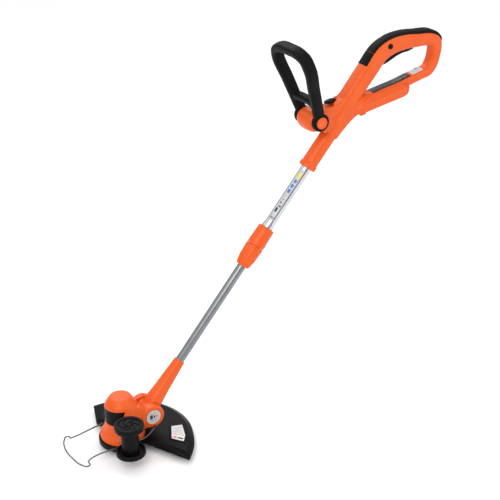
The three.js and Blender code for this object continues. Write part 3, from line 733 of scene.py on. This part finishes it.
def makeAssistHandle():
    eyes = [rod(assist[0], bail["eye"], *span, 64, 1.8) for span in ((-bail["outer"], -bail["inner"]),
                                                                      (bail["inner"], bail["outer"]))]
    body = fused("assistBail", joined(bailLimb(bail["rows"], 220), bailLimb(bail["bar"], 60), *eyes), 1.15, 6)
    inside = rod(assist[0], 34, -bail["inner"], bail["inner"], 72)
    outside = [rod(assist[0], 23, *span, 72) for span in ((-95, -bail["outer"]), (bail["outer"], 95))]
    carve(body, inside, *outside, rod(assist[0], 9, -60, 60))
    settle(body, "assist_handle", "grip_rubber", "aux_handle")
    for name, side in (("Left", -1), ("Right", 1)):
        face = bail["outer"] + 0.3
        profile = [[0.01, bail["inner"] + 0.3], [8.6, bail["inner"] + 0.3], [8.6, face], [13.3, face],
                   [13.3, face + 2.2], [12.3, face + 3], [10.8, face + 3], [10.2, face + 2.3],
                   [0.01, face + 2.3]]
        cap = turned([[r, side * h] for r, h in profile], across(assist[0]), 64, 0.5)
        settle(piece("pivotCap" + name, cap), "assist_handle", "orange_shell", "pivot_cap_" + name.lower())


def makeLever():
    # a superellipsoid pad, longer than wide, that fills the lever's box
    low, high = (np.array(c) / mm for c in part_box("lock_lever"))
    middle, half = (low + high) / 2, (high - low) / 2
    lat = np.linspace(-np.pi / 2 + 0.02, np.pi / 2 - 0.02, 40)[:, None]
    lon = np.linspace(0, 2 * np.pi, 64, endpoint=False)[None, :]
    x = power(np.cos(lat), 0.7) * power(np.cos(lon), 0.8)
    y = power(np.cos(lat), 0.7) * power(np.sin(lon), 0.8)
    z = power(np.sin(lat), 0.9)
    tilted = half[2] * (lever["thick"] * z + lever["tilt"] * x + lever["rise"])
    grid = np.stack([x * half[0], y * half[1], tilted], axis=2) + middle
    settle(piece("lockLeverPad", shell(grid)), "lock_lever", "black_plastic", "lock_lever")


makeAssistHandle()
makeLever()
print("assist handle ready")

trigger = {"rows": [[703, 768, 5.6, 8], [709, 769, 5.8, 8.4], [724, 774.5, 5.9, 8.4], [742, 780.5, 5.9, 7],
                    [760, 784.5, 5.9, 6.2], [776, 786, 5.8, 6.6], [788, 788.5, 5.6, 6.2]], "square": 3.4}


def makeTrigger():
    blade = limb(flatRows(trigger["rows"]), 90, 40, trigger["square"])
    settle(piece("triggerBlade", blade), "trigger", "black_plastic", "trigger")
    half = (lockBox[1][1] - lockBox[0][1]) / 2 / mm
    dish = [[0.01, -half + 1.2], [3.4, -half + 0.9], [4.8, -half], [5.8, -half + 0.6], [5.8, half - 0.6],
            [4.8, half], [3.4, half - 0.9], [0.01, half - 1.2]]
    settle(piece("lockOffButton", turned(dish, across(lockPlace), 48, 0.3)), "lock_off_button",
           "black_plastic",
           "lock_off_button")


makeTrigger()
print("trigger ready")

pod = {"profile": [[0.01, 24.3], [50.2, 24.3], [50.2, 36], [49.2, 39], [42.5, 43.5], [40.5, 48], [38.2, 60],
                   [37.2, 68], [36.6, 105], [35, 110.5], [24, 126.4], [21, 127], [0.01, 127]],
       "bridge": [[0, 40], [0, 106], [30, 103], [50, 90], [66, 72], [66, 40]], "bridgeHalf": 30.5, "ear": 27,
       "earHalf": 34.7, "slot": 18.2,
       "cap": [[0.01, 31.7], [20, 31.7], [20, 34.6], [19.3, 35.3], [18.4, 35.2], [18, 34.5], [0.01, 34.5]]}
vent = {"inner": 31.5, "outer": 36.6, "low": 68.3, "high": 104.7, "topEnd": 80, "lowEnd": 58, "louvre": 0.3,
        "pitch": 4.1}


def ventShell(grow, radial, louvre):
    # a curved plate across the front whose ends lean in towards the bottom; louvres are shallow waves
    w = np.linspace(-1, 1, 91)[:, None]
    h = np.linspace(vent["low"] - grow, vent["high"] + grow, 76)[None, :]
    share = (h - vent["low"]) / (vent["high"] - vent["low"])
    end = np.radians(vent["lowEnd"] + (vent["topEnd"] - vent["lowEnd"]) * share) + grow / 36
    angle = np.pi + end * w
    fade = np.clip(share / 0.1, 0, 1) * np.clip((1 - share) / 0.1, 0, 1) * (1 - np.abs(w) ** 8)
    out = radial - louvre * (1 + np.sin(h * 2 * np.pi / vent["pitch"])) * fade
    height = np.broadcast_to(h, angle.shape)
    front, back = (np.stack([r * np.cos(angle), r * np.sin(angle), height], axis=2)
                   for r in (out, vent["inner"]))
    return shell(np.concatenate([front, back[:, ::-1]], axis=1))


def makeHead():
    slot = pod["slot"]
    solid = joined(turned(pod["profile"], spoolAxis, 96, 1.6),
                   prism(pod["bridge"], -pod["bridgeHalf"], pod["bridgeHalf"]),
                   rod(tiltPivot, pod["ear"], -pod["earHalf"], pod["earHalf"], 96, 2.5))
    body = fused("headBody", solid, 1.0, 5)
    room = turned([[0.01, -slot], [24.1, -slot], [24.1, slot], [0.01, slot]], across(tiltPivot), 96, 0.05)
    x, z = tiltPivot[0], tiltPivot[2]
    gate = prism([[x, z], [42, 76], [42, 150], [150, 150], [150, 39], [x, 41.4]], -slot, slot)
    dishes = [rod(tiltPivot, 20.4, *span, 72, 0.2) for span in ((-50, -31.4), (31.4, 50))]
    spoolRoom = turned([[0.01, 10], [44, 10], [44, 36], [0.01, 36]], spoolAxis, 96)
    swing = jointPoint("wire_guard_swing")
    wireHoles = [rod(swing, 2.4, *span, 24, 0.1) for span in ((-45, -27), (27, 45))]
    carve(body, room, gate, *dishes, spoolRoom, ventShell(0.35, 42, 0), rod(tiltPivot, 4.3, -33, 33),
          *wireHoles)
    left, right = halves(body, "headShellLeft", "headShellRight")
    settle(left, "head", "orange_shell", "head_left")
    settle(right, "head", "orange_shell", "head_right")
    settle(piece("ventPanel", ventShell(0, vent["outer"], vent["louvre"])), "head", "black_plastic",
           "vent_panel")
    for name, side in (("Left", -1), ("Right", 1)):
        cap = turned([[r, side * h] for r, h in pod["cap"]], across(tiltPivot), 72, 0.3)
        settle(piece("tiltCap" + name, cap), "head", "orange_shell", "tilt_cap_" + name.lower())


makeHead()
print("head ready")

cover = {"rim": 157.9, "tip": 178, "first": -1.08, "last": 1.58, "near": [34, -49], "far": [-51, 17],
         "hub": 54.5,
         "hole": 44, "top": 24, "under": 21, "centre": [30, 0],
         "rings": [[0.8, 13.0], [0, 13.4], [0, 15], [1.2, 16.2], [11.4, 22.6], [13.2, 24]],
         "back": [[16, 21], [13.6, 19.8], [4.6, 15.2], [3, 14], [3, 13.4]], "pad": 1.9, "step": 1.1,
         "rib": 1.4}
labelPad = [[79, -77], [104, -27], [135, -38], [121, -86], [101, -109]]


def rimRadius(angle):
    spread = np.maximum(0, -angle - 0.35)
    return cover["rim"] + (cover["tip"] - cover["rim"]) * np.minimum(1, (spread / 0.72) ** 1.6)


def lineCut(a, b, inset, centre, angle):
    # distance from the centre to a straight edge moved inwards, along each direction
    a, b = np.array(a, float), np.array(b, float)
    along = (b - a) / np.linalg.norm(b - a)
    normal = np.array([along[1], -along[0]])
    if normal @ (a - centre) < 0:
        normal = -normal
    reach = normal @ (a - centre) - inset
    facing = normal[0] * np.cos(angle) + normal[1] * np.sin(angle)
    return np.where(facing > 1e-3, reach / np.maximum(facing, 1e-3), 1e4)


def guardRing(inset, angle):
    centre = np.array(cover["centre"], float)
    polar = np.linspace(cover["first"] - 0.3, cover["last"] + 0.3, 900)
    rim = (rimRadius(polar) - inset)[:, None] * np.stack([np.cos(polar), np.sin(polar)], axis=1) - centre
    bearing = np.unwrap(np.arctan2(rim[:, 1], rim[:, 0]))
    direction = np.mod(angle - bearing[0], 2 * np.pi) + bearing[0]
    fan = np.interp(direction, bearing, np.hypot(rim[:, 0], rim[:, 1]), right=1e4)
    tips = [rimRadius(t) * np.array([np.cos(t), np.sin(t)]) for t in (cover["first"], cover["last"])]
    fan = np.minimum(fan, lineCut(cover["near"], tips[0], inset, centre, angle))
    fan = np.minimum(fan, lineCut(cover["far"], tips[1], inset, centre, angle))
    return np.maximum(fan, circleReach(cover["hub"] - 0.08 * inset * (inset < 6), angle))


def circleReach(radius, angle):
    # distance from the guard's centre point to a circle about the spool's axis
    shift = cover["centre"][0] * np.cos(angle) + cover["centre"][1] * np.sin(angle)
    return -shift + np.sqrt(shift ** 2 + radius ** 2 - cover["centre"][0] ** 2 - cover["centre"][1] ** 2)


def insideBy(outline, x, y):
    # how deep each point lies inside a convex outline
    corners = np.array(outline, float)
    following = np.roll(corners, -1, axis=0)
    area = np.sum(corners[:, 0] * following[:, 1] - following[:, 0] * corners[:, 1])
    depth = np.full(x.shape, 1e4)
    for (ax, ay), (bx, by) in zip(corners, following):
        length = math.hypot(bx - ax, by - ay)
        depth = np.minimum(depth, np.sign(area) * ((bx - ax) * (y - ay) - (by - ay) * (x - ax)) / length)
    return depth


def guardRelief(x, y, r):
    # the raised pad for the label, a ring step round the hub and two stiffening ribs
    pad = cover["pad"] * np.clip(insideBy(labelPad, x, y) / 2.2 + 0.5, 0, 1)
    step = cover["step"] * np.clip((66 - r) / 2.5, 0, 1)
    slanted = np.exp(-((y - 0.9 * x + 22) / 2.0) ** 2) * np.clip((128 - r) / 6, 0, 1)
    straight = np.exp(-((x - 10) / 2.2) ** 2) * (y > 0) * np.clip((134 - r) / 6, 0, 1)
    ribs = cover["rib"] * np.maximum(slanted, straight) * np.clip((r - 70) / 6, 0, 1)
    return pad + np.maximum(step, ribs)


def makeGuard():
    angle = np.linspace(-np.pi, np.pi, 720, endpoint=False)
    hole = circleReach(cover["hole"], angle)
    rows = [(guardRing(d, angle), np.full(angle.shape, z)) for d, z in cover["rings"]]
    edgeRing, underRing = rows[-1][0], guardRing(cover["back"][0][0], angle)
    for share in np.linspace(0.02, 1, 46):
        radius = edgeRing + (hole - edgeRing) * share
        x, y = cover["centre"][0] + radius * np.cos(angle), cover["centre"][1] + radius * np.sin(angle)
        lift = guardRelief(x, y, np.hypot(x, y)) * min(1, (1 - share) * 25) * min(1, share * 25)
        rows.append((radius, cover["top"] + lift))
    for share in np.linspace(1, 0.05, 12):
        rows.append((underRing + (hole - underRing) * share, np.full(angle.shape, cover["under"])))
    rows += [(np.maximum(guardRing(d, angle), hole + 3), np.full(angle.shape, z)) for d, z in cover["back"]]
    radius, height = (np.stack([row[i] for row in rows]) for i in (0, 1))
    grid = np.stack([cover["centre"][0] + radius * np.cos(angle), cover["centre"][1] + radius * np.sin(angle),
                     height],
                    axis=2)
    body = piece("guardShell", shell(grid, closeRows=True), 55)
    settle(body, "head", "black_plastic", "guard")


makeGuard()
print("guard ready")

wheel = {"radius": 33, "bottom": 30, "top": 108, "pillar": 19.5, "vanes": 6, "treads": 36}


def makeWheel():
    top, bottom, r = wheel["top"], wheel["bottom"], wheel["radius"]
    angle = np.linspace(0, 2 * np.pi, 240, endpoint=False)[None, :]
    # the top disc: a rim, a sunk face with swept vanes in relief, and a plain underside
    face = np.concatenate([np.linspace(0.3, 24.3, 34), [24.8, 25.4, 26, 28, 30.5, 31.8, 32.6, r, r, r, 32.4,
                                                        31, 29, 4.4]])
    level = np.concatenate([np.full(34, top - 2.6), [top - 1.4, top - 0.3, top, top, top, top - 0.3,
                                                     top - 1.1, top - 2.6, top - 7, top - 11, top - 12.6,
                                                     top - 13.6, top - 14.3, top - 14.3]])
    radius, height, angle = np.broadcast_arrays(face[:, None], level[:, None], angle)
    sweep = np.cos(wheel["vanes"] * (angle + radius * 0.075))
    vane = np.clip((sweep - 0.55) * 5, 0, 1) * np.clip((radius - 5) / 1.5, 0,
                                                       1) * np.clip((22.5 - radius) / 1.5, 0, 1)
    hub = np.clip((5.2 - radius) / 0.8, 0, 1)
    height = height + np.where(np.arange(len(face))[:, None] < 34, 1.9 * np.maximum(vane, hub), 0)
    grid = np.stack([radius * np.cos(angle), radius * np.sin(angle), height], axis=2)
    settle(piece("wheelTop", shell(placed(grid, wheelAxis))), "edge_wheel", "black_plastic", "wheel_top")

    def tread(turn, height):
        band = np.clip((height - bottom - 1) / 1.5, 0, 1) * np.clip((bottom + 11 - height) / 1.5, 0, 1)
        return 1 - 0.028 * band * (np.cos(wheel["treads"] * turn) > 0.3)

    low = [[4.4, bottom], [29, bottom], [31.6, bottom + 0.6], [r, bottom + 2], [r, bottom + 4],
           [r, bottom + 7], [r, bottom + 9.4], [32.2, bottom + 10.8], [30.6, bottom + 11.8],
           [30, bottom + 12], [29.4, bottom + 11.2], [28.8, bottom + 5.4], [23, bottom + 4.8],
           [4.4, bottom + 4.8], [4.4, bottom]]
    dense = softLine(low, 0.5, 3)
    settle(piece("wheelBottom", turned(dense, wheelAxis, 288, 0.01, tread, closed=True)), "edge_wheel",
           "black_plastic",
           "wheel_bottom")


def makeBracket():
    x, y = wheelAxis[0][:2]
    column = turned([[0.01, wheel["bottom"] + 5.4], [wheel["pillar"], wheel["bottom"] + 5.4],
                     [wheel["pillar"], wheel["top"] - 15], [0.01, wheel["top"] - 15]], wheelAxis, 72, 1.2)
    bearing = math.atan2(y, x)
    along = np.array([math.cos(bearing), math.sin(bearing), 0])
    arm = limb([[*(along * r + [0, 0, 80]), 10, 10] for r in (30, 45, 60, 80)], 40, 40, 4, (0, 0, 1))
    body = fused("wheelArm", joined(column, arm), 0.9, 4)
    room = turned([[0.01, 55], [38, 55], [38, 115], [0.01, 115]], spoolAxis, 96, 0.1)
    bore = turned([[0.01, 10], [4.4, 10], [4.4, 120], [0.01, 120]], wheelAxis, 40, 0.1)
    carve(body, room, bore)
    settle(body, "head", "black_plastic", "wheel_bracket")


makeWheel()
makeBracket()
print("wheel ready")

wire = {"radius": 1.65, "span": 52.1}
reel = {"drum": [[2.8, 26], [33, 26], [33, 5], [36, 5], [36, 7], [36, 9], [36, 24], [36, 27.5], [33.5, 30],
                 [2.8, 30], [2.8, 26]],
        "cap": [[0.01, 0], [13.4, 0], [16.6, 2], [17.4, 3], [31.2, 3], [31.5, 5.7], [3, 5.7], [3, 7.7],
                [0.01, 7.7]],
        "ribs": 24, "ribDepth": 0.02, "eyelet": 2.6}


def wireSide(s):
    # one side of the wire from its pivot to the front, s is -1 or 1; the two sides differ by a few millimetres
    x, _, z = jointPoint("wire_guard_swing")
    span = wire["span"]
    return [[x, s * 29, z], [x, s * 35.8, z], [x - 2, s * 38.6, z - 0.5], [50, s * 45, 38],
            [32, s * 51.5, 33.5], [12, s * span, 32], [-35, s * span, 32], [-103 + s, s * 50, 25],
            [-107 + 2 * s, s * 51.5 - 1, 24.5], [-110 + 3 * s, s * 63.5 - 4, 24],
            [-115.5 + 3 * s, s * 65.5 - 4, 24], [-125.5 + 3 * s, s * 53 - 3, 24], [-133.2 + s, s * 25, 24]]


def roundWire(points, radius, rings, sides=12):
    # a circle carried along a space curve, each ring turned to stay square to it
    path = smoothPath(points, rings)[0]
    ahead = headings(path)
    side = np.cross(ahead, [0, 0, 1.0])
    side /= np.linalg.norm(side, axis=1)[:, None]
    up = np.cross(side, ahead)
    angle = np.linspace(0, 2 * np.pi, sides, endpoint=False)
    ring = np.cos(angle)[None, :, None] * side[:, None] + np.sin(angle)[None, :, None] * up[:, None]
    return shell(path[:, None] + radius * ring)


def makeWireGuard():
    body = piece("wireLoop", roundWire(wireSide(-1) + wireSide(1)[::-1], wire["radius"], 460), 60)
    settle(body, "wire_guard", "wire_steel", "wire_guard")


def makeSpool():
    def ribs(turn, height):
        band = np.clip((height - 7) / 1.5, 0, 1) * np.clip((24 - height) / 1.5, 0, 1)
        return 1 - reel["ribDepth"] * (np.cos(reel["ribs"] * turn) > 0.4) * band

    drum = softLine(reel["drum"], 0.8, 4)
    body = piece("drumShell", turned(drum, spoolAxis, 192, 0.01, ribs, closed=True))
    hole, outward = reel["eyelet"], axes([0, 0, 9], [0, 1, 0], [0, 0, 1], [1, 0, 0])
    carve(body, turned([[0.01, 20], [hole, 20], [hole, 50], [0.01, 50]], outward, 32, 0.1))
    settle(body, "spool_drum", "black_plastic", "spool_drum")
    settle(piece("bumpCap", turned(reel["cap"], spoolAxis, 96, 0.6)), "bump_cap", "black_plastic",
           "spool_cap")
    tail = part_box("line_tail")
    start, end, high = tail[0][0] / mm, tail[1][0] / mm, (tail[0][2] + tail[1][2]) / 2 / mm
    line = roundWire([[start, 0, high], [start + 30, 0, high], [end - 30, 0, high], [end, 0, high]], 1.0, 60,
                     16)
    settle(piece("lineTail", line), "spool_drum", "trimmer_line", "line_tail")


makeWireGuard()
makeSpool()
print("wire and spool ready")


def layFace(obj, uv):
    # a UV layer of its own from one pair per vertex
    layer = obj.data.uv_layers.new(name="face")
    corner = np.zeros(len(obj.data.loops), int)
    obj.data.loops.foreach_get("vertex_index", corner)
    layer.data.foreach_set("uv", uv[corner].ravel())


def sticker(name, grid, body, material, thickness=0.16):
    # a thin closed plate over a grid of points, with its own UV from the grid
    rows, columns = grid.shape[:2]
    normal = np.cross(np.gradient(grid, axis=0), np.gradient(grid, axis=1))
    normal /= np.linalg.norm(normal, axis=2)[..., None]
    both = np.concatenate([grid, grid - normal * thickness])
    faces = gridFaces(rows, columns, False, False)
    edge = np.concatenate([np.arange(columns), np.arange(1, rows) * columns + columns - 1,
                           (rows - 1) * columns + np.arange(columns - 2, -1, -1),
                           np.arange(rows - 2, 0, -1) * columns])
    following, count = np.roll(edge, -1), rows * columns
    rim = np.stack([following, edge, edge + count, following + count], axis=1)
    allFaces = faces.tolist() + (faces[:, ::-1] + count).tolist() + rim.tolist()
    flat = both.reshape(-1, 3)
    if volumeOf(flat, allFaces) < 0:
        allFaces = [f[::-1] for f in allFaces]
    obj = piece(name, (flat, allFaces))
    u, v = np.meshgrid(np.linspace(0, 1, rows), np.linspace(0, 1, columns), indexing="ij")
    layFace(obj, np.tile(np.stack([u, v], axis=2).reshape(-1, 2), (2, 1)))
    obj.data.materials.append(material)
    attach(obj, body)


def bars(tree, coordinate, start, stop):
    # one where the coordinate lies between two values
    above = product(tree, coordinate, start, "GREATER_THAN")
    below = product(tree, coordinate, stop, "LESS_THAN")
    return product(tree, above, below)


def printed(name, ground, marks, rough=0.35):
    # a sticker: ground colour with plain bars and rules in its own UV
    # marks are u0, u1, v0, v1, rows, colour
    material, tree, shader = blank(name)
    face = add(tree, "ShaderNodeUVMap", uv_map="face").outputs["UV"]
    split = add(tree, "ShaderNodeSeparateXYZ")
    tree.links.new(face, split.inputs["Vector"])
    u, v = split.outputs["X"], split.outputs["Y"]
    soil = noise(tree, face, 6.0, 4.0)
    colour = mixed(tree, ranged(tree, soil, 0.4, 0.8, 0.0, 0.25), ground,
                   tuple(0.75 * c for c in ground[:3]) + (1,))
    for u0, u1, v0, v1, rows, tint in marks:
        mask = product(tree, bars(tree, u, u0, u1), bars(tree, v, v0, v1))
        if rows > 1:
            stripe = product(tree, product(tree, v, rows / (v1 - v0)), 1.0, "MODULO")
            mask = product(tree, mask, product(tree, stripe, 0.45, "LESS_THAN"))
            breaks = noise(tree, face, rows * 5.0, 0.0)
            mask = product(tree, mask, product(tree, breaks, 0.44, "GREATER_THAN"))
        colour = mixed(tree, mask, colour, tint)
    tree.links.new(colour, shader.inputs["Base Color"])
    tree.links.new(product(tree, ranged(tree, soil, 0.3, 0.7, -0.05, 0.08), rough, "ADD"),
                   shader.inputs["Roughness"])
    return material


ink = {"dark": (0.02, 0.02, 0.022, 1), "grey": (0.25, 0.25, 0.26, 1), "orange": (0.85, 0.16, 0.03, 1),
       "yellow": (0.75, 0.62, 0.03, 1), "blue": (0.05, 0.14, 0.5, 1)}
# tube: both ends along the shaft, both angles, radius; strip and plate: shares of the loop, half-width
labels = {"tube": [514, 648, -178, -118, 12.18], "disc": 17.4, "discFace": -34.75,
          "strip": [0.785, 0.965, 12.5],
          "plate": [0.725, 0.775, 12.0]}


def curvedStrip(s0, s1, a0, a1, radius, rows=60, columns=16):
    angle = np.radians(np.linspace(a0, a1, columns))[None, :]
    s = np.linspace(s0, s1, rows)[:, None]
    local = np.broadcast_arrays(radius * np.cos(angle), radius * np.sin(angle), s)
    return placed(np.stack(local, axis=2), shaft)


def limbStrip(first, last, halfWidth, rows=50, columns=20):
    # a strip on top of the lower limb: the limb's own section a little outside its skin
    centre, normal, wide, deep = loopAt(np.linspace(first, last, rows))
    y = np.linspace(-halfWidth, halfWidth, columns)[None, :]
    square = rearHandle["square"]
    lift = deep * (1 - np.abs(y / wide) ** square) ** (1 / square) + 0.35
    return centre[:, None] - lift[..., None] * normal[:, None] + y[..., None] * np.array([0, 1, 0])


def makeDisc(material):
    # the pivot's disc: points on circles of growing radius, front face first
    ring = np.linspace(0.02, labels["disc"], 24)[:, None]
    turn = np.linspace(0, 2 * np.pi, 64, endpoint=False)[None, :]
    grid = np.stack(np.broadcast_arrays(tiltPivot[0] + ring * np.cos(turn), labels["discFace"],
                                        tiltPivot[2] + ring * np.sin(turn)), axis=2)
    obj = piece("pivotLabel", shell(np.concatenate([grid, grid[::-1] + [0, 0.3, 0]])))
    place = np.zeros(len(obj.data.vertices) * 3)
    obj.data.vertices.foreach_get("co", place)
    place = place.reshape(-1, 3) / mm - tiltPivot
    layFace(obj, 0.5 + place[:, [0, 2]] / 35)
    obj.data.materials.append(material)
    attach(obj, "head")


def makeStickers():
    strip = printed("tubeLabelPrint", (0.50, 0.52, 0.54, 1), [
        (0.03, 0.07, 0.1, 0.9, 1, ink["grey"]), (0.16, 0.24, 0.2, 0.62, 1, ink["dark"]),
        (0.26, 0.29, 0.45, 0.85, 1, ink["dark"]), (0.33, 0.36, 0.3, 0.6, 1, ink["dark"]),
        (0.39, 0.42, 0.35, 0.7, 1, ink["orange"]), (0.45, 0.50, 0.3, 0.75, 2, ink["grey"]),
        (0.54, 0.61, 0.25, 0.75, 1, ink["blue"]), (0.64, 0.71, 0.25, 0.75, 1, ink["blue"]),
        (0.74, 0.80, 0.3, 0.8, 1, ink["blue"]), (0.84, 0.93, 0.2, 0.85, 1, ink["yellow"])], 0.3)
    sticker("tubeLabel", curvedStrip(*labels["tube"]), "handle", strip)
    discPrint = printed("pivotLabelPrint", (0.52, 0.53, 0.55, 1), [
        (0.24, 0.44, 0.38, 0.68, 1, ink["dark"]), (0.50, 0.60, 0.42, 0.62, 1, ink["dark"]),
        (0.64, 0.80, 0.46, 0.58, 1, ink["orange"]), (0.28, 0.72, 0.24, 0.29, 1, ink["grey"]),
        (0.30, 0.70, 0.76, 0.80, 1, ink["grey"])])
    makeDisc(discPrint)
    # the guard's label lies flat on its pad, between a straight left side and a bent right side
    guardPrint = printed("guardLabelPrint", (0.74, 0.74, 0.74, 1), [
        (0.08, 0.92, 0.30, 0.92, 9, ink["grey"]), (0.10, 0.40, 0.08, 0.22, 1, ink["orange"]),
        (0.48, 0.90, 0.10, 0.20, 1, ink["dark"])])
    v = np.linspace(0, 1, 24)[None, :, None]
    left = np.array([84, -77.0]) * (1 - v) + np.array([106, -34.0]) * v
    right = np.stack([np.interp(v[..., 0], [0, 0.4, 1], [101, 115, 129]), np.interp(v[..., 0], [0, 0.4, 1],
                                                                                  [-102, -83, -42])], axis=2)
    u = np.linspace(0, 1, 14)[:, None, None]
    flat = left * (1 - u) + right * u
    level = np.full(flat.shape[:2] + (1,), cover["top"] + 2.05)
    sticker("guardLabel", np.concatenate([flat, level], axis=2), "head", guardPrint)
    # a dark data strip and a pale plate on the lower limb of the rear handle
    dataPrint = printed("dataStripPrint", (0.012, 0.012, 0.013, 1), [
        (0.08, 0.46, 0.14, 0.40, 3, ink["grey"]), (0.10, 0.40, 0.62, 0.86, 2, ink["grey"])], 0.45)
    sticker("dataStrip", limbStrip(*labels["strip"]), "handle", dataPrint)
    platePrint = printed("ratingPlatePrint", (0.58, 0.59, 0.61, 1), [
        (0.12, 0.88, 0.12, 0.55, 5, ink["grey"]), (0.12, 0.40, 0.66, 0.86, 1, ink["dark"])], 0.3)
    sticker("ratingPlate", limbStrip(*labels["plate"]), "handle", platePrint)


makeStickers()
print("stickers ready")
